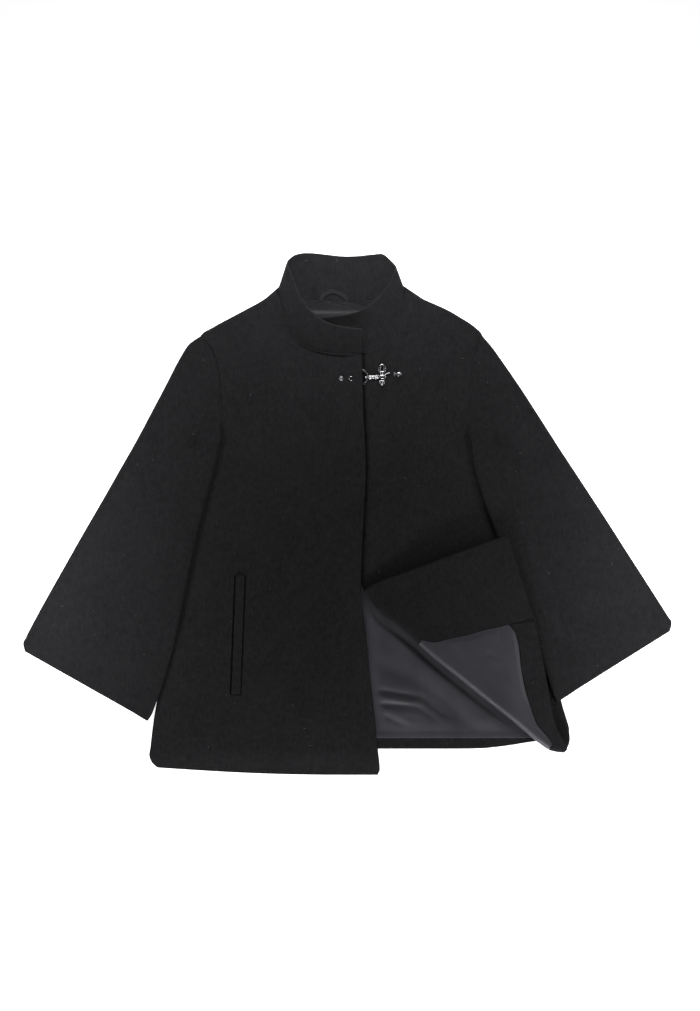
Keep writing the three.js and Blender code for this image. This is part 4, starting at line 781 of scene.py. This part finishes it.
def sleeve(side, sections):
    """A tube laid flat: its upper layer from outer to inner edge, then its lower layer back."""
    sign = -1 if side == "right" else 1
    place = edged(SLEEVE_LENGTH)[:, None]
    share = edged(SLEEVE_WIDTH)
    loop = np.concatenate([share, share[-2:0:-1]])[None, :]
    layer = np.where(np.arange(loop.size) < share.size, 1, -1)[None, :]
    x, y, width = sleeve_plan(side, sign, sections, place, loop)
    nearest = np.minimum(loop, 1 - loop) * width
    free = smooth(0, HEAD_ROWS, place * (len(sections["outer_x"]) - 1))
    crown = mix(CREST - WOOL, CUFF_GAP, smooth(CUFF_FROM, 1, place))
    half = (WOOL + mix(FRONT_BASE - WOOL, crown, free)) / 2
    opened = curl_share(nearest * mix(HEAD_CURL, 1, free))
    z = side_lift(side, sign, x, y) + WOOL / 2 + half + layer * half * opened
    crease = crease_lift(CREASES, x, y) * free * curl_share(nearest / 2)
    past = place * SLEEVE_LENGTH - SEWN
    puff = np.exp(-(((past - PUFF_AT) / PUFF_WIDTH) ** 2)) * smooth(*PUFF_ACROSS, nearest)
    head = HEAD_RISE * puff - HEAD_DIP * (1 - smooth(*DIP_DOWN, past))
    z = z + np.where(layer > 0, crease + head, 0)
    return shell(f"{side}_sleeve_cloth", np.stack([x, y, z], axis=-1), WOOL, wrap=True)


def collar():
    """The doubled band: sections from the seam to the free edge, bowed out between them."""
    share = edged(COLLAR_WIDTH, COLLAR_GRID)[:, None]
    rows = []
    for section in zip(*COLLAR.values()):
        seam, edge = np.array([section[:3]]), np.array([section[3:]])
        seam = seam + COLLAR_SEWN * (seam - edge) / np.linalg.norm(seam - edge)
        rows.append(mix(seam, edge, share))
    middle = loft(rows, COLLAR_GRID, flowing)
    standing = smooth(*STANDING_Z, middle[:, -1, 2])[:, None]
    outward = grid_normals(middle)
    outward = outward * np.sign(outward[..., 2:3])
    middle = middle + outward * (COLLAR_BOW * np.sin(np.pi * share.T) * standing)[..., None]
    covered = smooth(*COVERED_ROUND, np.linspace(0, 1, len(middle)))[:, None]
    middle[..., 2] -= COLLAR_SAG * covered * np.sin(np.pi * share.T**SAG_POWER)
    return shell("collar_cloth", middle, COLLAR_BAND)


def paint_neck_shade(lining):
    """Gives the lining's neck, which lies deep in the collar, the darker copy of the satin: painted
    shade.
    """
    lining.data.materials.append(painted_shade_satin)
    for face in lining.data.polygons:
        if face.center[1] > NECK_SHADE_Y * MM:
            face.material_index = 1


def hanger_loop():
    """A folded strip, both ends sewn in at the neck, bent to a low arch."""
    keys = np.arange(len(LOOP_LINE))
    line = flowing(spaced(0, keys[-1], LOOP_STEP), keys, LOOP_LINE)
    along = np.gradient(line, axis=0)
    across = np.stack([-along[:, 1], along[:, 0]], axis=1)
    across /= np.linalg.norm(across, axis=1, keepdims=True)
    places = [line + across * offset for offset in (edged(22, 2) - 0.5) * LOOP_WIDTH]
    rows = [stacked(place[:, 0], place[:, 1], COLLAR_BAND + SEAM, LOOP_WALL) for place in places]
    return shell("hanger_loop_satin", np.array(rows), LOOP_WALL)


def pocket_welt():
    along = edged(WELT_TOP[1] - WELT_LOW[1])[:, None]
    across = edged(WELT_WIDTH * 2, WELT_GRID)[None, :]
    x = mix(WELT_TOP[0], WELT_LOW[0], along) + WELT_WIDTH * across
    y = mix(WELT_TOP[1], WELT_LOW[1], along) + 0 * across
    base = right_front_base(x, y) + WOOL + SEAM
    return shell("right_pocket_welt_cloth", stacked(x, y, base, WELT_WALL), WELT_WALL)


def ringed(rings):
    """Points and faces of a closed body from rings of points, its ends drawn to a point."""
    rings = np.array(rings)
    count, sides = rings.shape[:2]
    number = np.arange(count * sides).reshape(count, sides)
    after = np.roll(number, -1, axis=1)
    quads = np.stack([number[:-1], after[:-1], after[1:], number[1:]], axis=-1).reshape(-1, 4)
    first, last = count * sides, count * sides + 1
    ends = [[first, int(after[0, k]), int(number[0, k])] for k in range(sides)]
    ends += [[last, int(number[-1, k]), int(after[-1, k])] for k in range(sides)]
    tips = [rings[0].mean(axis=0), rings[-1].mean(axis=0)]
    return np.concatenate([rings.reshape(-1, 3), tips]), quads.tolist() + ends


def rod(path, radius, flat=1.0, closed=False):
    """A bent wire along places, each x, y and what it lies above the clasp's middle. Its ends
    are rounded, and flat squashes its height."""
    path = np.array([(*place, 0)[:3] for place in path], float) + (0, 0, CLASP_MIDDLE)
    extra = 2 if closed else 0
    if closed:
        path = np.concatenate([path[-extra:], path, path[:extra + 1]])
    keys = travelled(path)
    keys -= keys[extra]
    at = spaced(0, keys[len(keys) - 1 - extra], ROD_STEP)
    line = flowing(at, keys, path)
    along = np.gradient(line, axis=0)
    if closed:
        along[0] = along[-1] = line[1] - line[-2]
    along /= np.linalg.norm(along, axis=1, keepdims=True)
    side = np.cross(along, (0, 0, 1))
    side /= np.linalg.norm(side, axis=1, keepdims=True)
    up = np.cross(side, along) * flat
    size = np.full(len(at), float(radius))
    if not closed:
        nearest = np.clip(np.minimum(at, at[-1] - at) / radius, ROD_TIP, 1)
        size = radius * np.sqrt(1 - (1 - nearest) ** 2)
    turn_x, turn_z = np.cos(ROUND)[None, :, None], np.sin(ROUND)[None, :, None]
    ring = turn_x * side[:, None, :] + turn_z * up[:, None, :]
    return ringed(line[:, None, :] + size[:, None, None] * ring)


def turned_form(x, y, base, profile, oval=1):
    """A round body from (radius, height) pairs, at a place, its y size made oval."""
    turn = np.stack([np.cos(ROUND), np.sin(ROUND) * oval, 0 * ROUND], axis=-1)
    return ringed([turn * radius + (x, y, base + height) for radius, height in profile])


def dome(x, y, radius, height, oval=1):
    return turned_form(x, y, CLASP_LOW, [(r * radius, h * height) for r, h in DOME], oval)


def clasp_piece(name, bodies):
    """One metal piece of the clasp from its bodies, in place of the plain one."""
    points, faces = np.zeros((0, 3)), []
    for body_points, body_faces in bodies:
        faces += [[k + len(points) for k in face] for face in body_faces]
        points = np.concatenate([points, body_points])
    dress(smooth_object(f"{name}_metal", points, faces), metal, [name])


def clasp():
    """The fastened clasp: studs on the right front, and ring, hook, wings and cap on the left."""
    for number, (x, profile) in enumerate(STUDS, start=1):
        form = turned_form(x, STUD_Y, FRONT_TOP + OVERLAP_LIFT + SEAM, profile)
        clasp_piece(f"clasp_stud_{number}", [form])
    clasp_piece("clasp_ring", [rod(RING, 1.15), dome(26, 193.2, 1.9, 0.95)])
    clasp_piece("clasp_hook", [
        rod([(29.6, 195.1), (37, 195), (45.5, 195.3, 0.3)], 1.25),
        rod([(29.6, 191.9), (37, 191.8), (45.5, 192.2, 0.3)], 1.25),
        rod([(29.7, 195), (29.1, 193.4), (29.7, 191.7)], 0.8),
        dome(49.4, 194, 5.6, 1.1, 0.66),
        rod([(52.5, 195.6, 0.3), (56.5, 198.2), (60.8, 199.4)], 1.2),
    ])
    clasp_piece("clasp_wing_upper", [rod(UPPER_WING, 1.75, 0.62, closed=True)])
    clasp_piece("clasp_wing_lower", [rod(LOWER_WING, 1.5, 0.7, closed=True)])
    clasp_piece("clasp_cap", [
        rod([(66.6, 194.6), (66.9, 197.5), (66.6, 200.4)], 1.3),
        dome(72.9, 197.8, 4.1, 1, 0.8),
        rod([(66.6, 197.6, -0.2), (69.8, 197.7, -0.2)], 0.8),
    ])


class Recipe:
    """A material under construction, with short calls for its nodes."""

    def __init__(self, name):
        self.material = bpy.data.materials.new(name)
        self.material.use_nodes = True
        self.nodes = self.material.node_tree.nodes
        self.links = self.material.node_tree.links
        self.shader = self.nodes["Principled BSDF"]
        self.place = self.add("ShaderNodeTexCoord").outputs["Object"]

    def add(self, kind, inputs=None, **settings):
        node = self.nodes.new(kind)
        for key, value in settings.items():
            setattr(node, key, value)
        for key, value in (inputs or {}).items():
            self.put(node.inputs[key], value)
        return node

    def put(self, socket, value):
        if isinstance(value, bpy.types.NodeSocket):
            self.links.new(value, socket)
        else:
            socket.default_value = value

    def solve(self, operation, *terms, result="Value", kind="ShaderNodeMath"):
        """One sum on numbers, or on vectors for that kind of node."""
        return self.add(kind, dict(enumerate(terms)), operation=operation).outputs[result]

    def vector(self, operation, *terms, result="Vector"):
        return self.solve(operation, *terms, result=result, kind="ShaderNodeVectorMath")

    def sum_of(self, *terms):
        """Weighted sum of values, each term a value and its weight."""
        total = 0.0
        for value, weight in terms:
            total = self.solve("MULTIPLY_ADD", value, weight, total)
        return total

    def turned(self, degrees, stretch):
        """Coordinates turned about the vertical and stretched along and across."""
        turn = self.add("ShaderNodeMapping", {
            "Vector": self.place, "Rotation": (0, 0, math.radians(degrees)), "Scale": stretch,
        })
        return turn.outputs["Vector"]

    def noise(self, scale, detail=3, roughness=0.55, vector=None):
        node = self.add("ShaderNodeTexNoise", {
            "Vector": vector or self.place, "Scale": scale, "Detail": detail, "Roughness": roughness,
        })
        return node.outputs["Fac"]

    def threads(self, pitch, degrees, waver):
        """Fine parallel threads, a pitch apart in metres."""
        node = self.add("ShaderNodeTexWave", {
            "Vector": self.turned(degrees, (1, 1, 1)), "Scale": math.pi / 10 / pitch,
            "Distortion": waver, "Detail": 1, "Detail Scale": 2,
        })
        return node.outputs["Fac"]

    def ranged(self, value, low, high, to_low, to_high):
        node = self.add("ShaderNodeMapRange", {
            "Value": value, "From Min": low, "From Max": high, "To Min": to_low, "To Max": to_high,
        })
        return node.outputs["Result"]

    def blend(self, share, one, other):
        """Colour one where the share is 0 and the other where it is 1."""
        sockets = {"Factor": share, MIX_ONE: one, MIX_OTHER: other}
        return self.add("ShaderNodeMix", sockets, data_type="RGBA").outputs[MIX_RESULT]

    def pointiness(self):
        """How sharp the surface stands out: 0.5 where it is flat, and less in a groove."""
        return self.add("ShaderNodeNewGeometry").outputs["Pointiness"]

    def specks(self, scale, size, wanted, vector=None):
        """Scattered dots of a size in metres, kept only in some of the cells."""
        inputs = {"Vector": vector or self.place, "Scale": scale}
        cells = self.add("ShaderNodeTexVoronoi", inputs, voronoi_dimensions="2D")
        dot = self.ranged(cells.outputs["Distance"], size * scale * 0.5, size * scale, 1, 0)
        shade = self.add("ShaderNodeSeparateColor", {"Color": cells.outputs["Color"]})
        chosen = self.ranged(shade.outputs[0], 1 - wanted, 1 - wanted + 0.02, 0, 1)
        return self.solve("MULTIPLY", dot, chosen)

    def line(self, start, end, core, fade):
        """1 along a line between two places, falling off from its core to 0 at its fade."""
        along = Vector((end[0] - start[0], end[1] - start[1], 0))
        flat = self.vector("MULTIPLY", self.place, (1, 1, 0))
        offset = self.vector("SUBTRACT", flat, (*start, 0))
        unit = tuple(along / along.length_squared)
        share = self.ranged(self.vector("DOT_PRODUCT", offset, unit, result="Value"), 0, 1, 0, 1)
        nearest = self.vector("MULTIPLY", tuple(along), share)
        apart = self.vector("SUBTRACT", offset, nearest)
        return self.ranged(self.vector("LENGTH", apart, result="Value"), core, fade, 1, 0)

    def bump(self, height, depth, below=None):
        """Relief of a depth in metres, on top of another relief."""
        inputs = {"Strength": 1, "Distance": depth, "Height": height}
        if below is not None:
            inputs["Normal"] = below
        return self.add("ShaderNodeBump", inputs).outputs["Normal"]

    def finish(self, **looks):
        for key, value in looks.items():
            self.put(self.shader.inputs[key.replace("_", " ")], value)
        return self.material


def wool_material(name, shaded=(), core=0.001, fade=0.0022, depth=1.0, rim_highlight=0.0):
    """Milled black wool: a faint twill under a short nap, cloudy, with lint on it, and painted shade in
    its grooves. A shaded line, in millimetres, is painted shade: dark over its core and light again at
    its fade, both in metres. Given a strength for it, sharp edges get a painted highlight."""
    wool = Recipe(name)
    clouds = wool.sum_of((wool.noise(8), 0.22), (wool.noise(34), 0.25), (wool.noise(130), 0.53))
    twill = wool.threads(0.0011, 38, 3.5)
    warp = wool.noise(420, 2, 0.6, wool.turned(4, (1, 0.3, 1)))
    fibres = wool.noise(1500, 3, 0.6, wool.turned(24, (1, 0.22, 1)))
    nap = wool.noise(620, 3, 0.62)
    tone = wool.sum_of((clouds, 0.42), (warp, 0.33), (fibres, 0.12), (nap, 0.1), (twill, 0.03))
    cloth = wool.blend(wool.ranged(tone, 0.38, 0.62, 0, 1), WOOL_DARK, WOOL_LIGHT)
    pointiness = wool.pointiness()
    # Painted shade: grooves, where the surface curves inwards, are darkened.
    cloth = wool.blend(wool.ranged(pointiness, 0.44, 0.49, 0.8, 0), cloth, WOOL_SHADE)
    # Painted highlight: sharp rims, where the surface curves outwards, are lightened.
    if rim_highlight:
        cloth = wool.blend(wool.ranged(pointiness, 0.51, 0.56, 0, rim_highlight), cloth, WOOL_PAINTED_HIGHLIGHT)
    lint = wool.sum_of(
        (wool.specks(20, 0.0009, 0.35), 0.3),
        (wool.specks(60, 0.0006, 0.25), 0.16),
        (wool.specks(21, 0.0007, 0.35, wool.turned(63, (1, 0.28, 1))), 0.28),
        (wool.specks(19, 0.0007, 0.35, wool.turned(-28, (0.3, 1, 1))), 0.28),
    )
    cloth = wool.blend(lint, cloth, LINT)
    places = [(x * MM, y * MM) for x, y in shaded]
    # Painted shade: each shaded line darkens the wool towards the shade colour.
    for start, end in zip(places[:-1], places[1:]):
        shade = wool.solve("MULTIPLY", wool.line(start, end, core, fade), depth)
        cloth = wool.blend(shade, cloth, WOOL_SHADE)
    relief = wool.bump(clouds, 0.0009)
    threads = wool.sum_of((twill, 0.3), (warp, 0.5), (nap, 0.4), (fibres, 0.4))
    relief = wool.bump(threads, 0.00018, relief)
    return wool.finish(
        Base_Color=cloth, Roughness=wool.ranged(nap, 0.3, 0.7, 0.78, 0.97), Normal=relief,
        Specular_IOR_Level=0.06, Sheen_Weight=0.025, Sheen_Roughness=0.5,
    )


def satin_material(name, dark, light, gloss, sheen):
    """Grey lining satin with a violet cast: close threads, a soft gloss and faint streaks."""
    satin = Recipe(name)
    streaks = satin.noise(30, 3, 0.5, satin.turned(52, (1, 0.2, 1)))
    clouds = satin.noise(16)
    warp = satin.threads(0.00042, 8, 0.6)
    weft = satin.threads(0.0007, 98, 0.6)
    tone = satin.sum_of((streaks, 0.4), (clouds, 0.45), (warp, 0.15))
    cloth = satin.blend(satin.ranged(tone, 0.32, 0.68, 0, 1), dark, light)
    relief = satin.bump(satin.noise(60, 2, 0.5), 0.0003)
    relief = satin.bump(satin.sum_of((warp, 0.6), (weft, 0.4)), 0.00003, relief)
    return satin.finish(
        Base_Color=cloth, Roughness=satin.ranged(tone, 0.35, 0.65, 0.38, 0.48), Normal=relief,
        Specular_IOR_Level=gloss, Sheen_Weight=sheen,
    )


def metal_material():
    """Polished nickel, dulled in patches, with painted shade in its grooves and fine scratches."""
    metal = Recipe("bright_nickel")
    scratches = metal.noise(900, 4, 0.7, metal.turned(15, (1, 0.08, 1)))
    dull = metal.noise(260, 4)
    shine = metal.blend(metal.ranged(dull, 0.35, 0.7, 0, 1), METAL_BRIGHT, METAL_DULL)
    # Painted shade: the metal's grooves are darkened.
    shine = metal.blend(metal.ranged(metal.pointiness(), 0.4, 0.49, 0.95, 0), shine, METAL_PAINTED_SHADE)
    return metal.finish(
        Base_Color=shine, Metallic=1.0, Roughness=metal.ranged(dull, 0.3, 0.7, 0.16, 0.36),
        Normal=metal.bump(scratches, 0.00004),
    )


def floor_material():
    floor = Recipe("pale_floor")
    return floor.finish(
        Base_Color=FLOOR_COLOUR, Roughness=floor.ranged(floor.noise(180), 0.3, 0.7, 0.93, 0.96),
        Emission_Color=WHITE, Emission_Strength=FLOOR_GLOW,
    )


def light(name, location, aim, size, power, spread):
    """A soft box that looks at a point, its beam narrowed to an angle in degrees."""
    data = bpy.data.lights.new(name, "AREA")
    data.shape = "RECTANGLE"
    data.size, data.size_y = size
    data.energy = power
    data.spread = math.radians(spread)
    thing = linked(name, data)
    thing.location = location
    thing.rotation_euler = (Vector(aim) - Vector(location)).to_track_quat("-Z", "Y").to_euler()
    thing.visible_camera = False


def studio():
    """The camera straight above, a pale floor that fills the picture, and the lights."""
    scene = bpy.context.scene
    data = bpy.data.cameras.new("camera")
    data.lens = data.sensor_width * CAMERA_HEIGHT / PICTURE_HEIGHT
    data.clip_end = CAMERA_REACH
    scene.camera = linked("camera", data)
    scene.camera.location = (*PICTURE_MIDDLE, CAMERA_HEIGHT)
    scene.view_settings.view_transform = "Standard"
    mesh = bpy.data.meshes.new("floor")
    ways = ((-1, -1), (1, -1), (1, 1), (-1, 1))
    corners = [(x * FLOOR_REACH, y * FLOOR_REACH, -FLOOR_DROP) for x, y in ways]
    mesh.from_pydata(corners, [], [(0, 1, 2, 3)])
    mesh.materials.append(floor_material())
    linked("floor", mesh)
    scene.world = bpy.data.worlds.new("world")
    scene.world.use_nodes = True
    sky = scene.world.node_tree.nodes["Background"].inputs
    sky["Color"].default_value = WHITE
    sky["Strength"].default_value = SKY_GLOW
    for row in LIGHTS:
        light(*row)


wool = wool_material("black_wool")
# Painted shade: a dark line along the pocket slit and round the welt.
wool_with_painted_slit_shade = wool_material("black_wool_painted_slit_shade", WELT_SHADE)
# Painted shadow: a dark band along the line where the right front's edge laps over the left front.
wool_with_painted_lap_shadow = wool_material("black_wool_painted_lap_shadow", LAPPED_EDGE, 0.0016, 0.0065, 0.75)
# Painted highlight on the collar's sharp rims.
wool_with_painted_rim_highlight = wool_material("black_wool_painted_rim_highlight", rim_highlight=0.55)
satin = satin_material("grey_satin", SATIN_DARK, SATIN_LIGHT, 0.22, 0.06)
# Painted shade: a darker, less glossy copy of the satin for what lies deep in the collar.
painted_shade_satin = satin_material("painted_shade_satin", SHADE_SATIN_DARK, SHADE_SATIN_LIGHT, 0.1, 0.01)
metal = metal_material()

# Pieces of cloth, each with its material and the nodes that it stands for
CLOTH = [
    (back_panel(), wool, "back_panel"),
    (back_lining(), satin, "back_lining"),
    (back_hem_band(), wool, "back_hem_band"),
    (right_front(), wool_with_painted_slit_shade, "right_front"),
    (left_front(), wool_with_painted_lap_shadow, "left_front"),
    (left_facing(), wool, "left_facing"),
    (left_flap_lining(), satin, "left_flap_lining"),
    (left_hem_band(), wool, "left_hem_band"),
    (sleeve("right", RIGHT_SLEEVE), wool, "right_sleeve_front", "right_sleeve_back"),
    (sleeve("left", LEFT_SLEEVE), wool, "left_sleeve_front", "left_sleeve_back"),
    (collar(), wool_with_painted_rim_highlight, "collar"),
    # The hanger loop takes the satin's painted-shade copy.
    (hanger_loop(), painted_shade_satin, "hanger_loop"),
    (pocket_welt(), wool, "right_pocket_welt"),
]
pieces = {}
for thing, material, *nodes in CLOTH:
    pieces[nodes[0]] = dress(thing, material, nodes)
paint_neck_shade(pieces["back_lining"])
clasp()

studio()
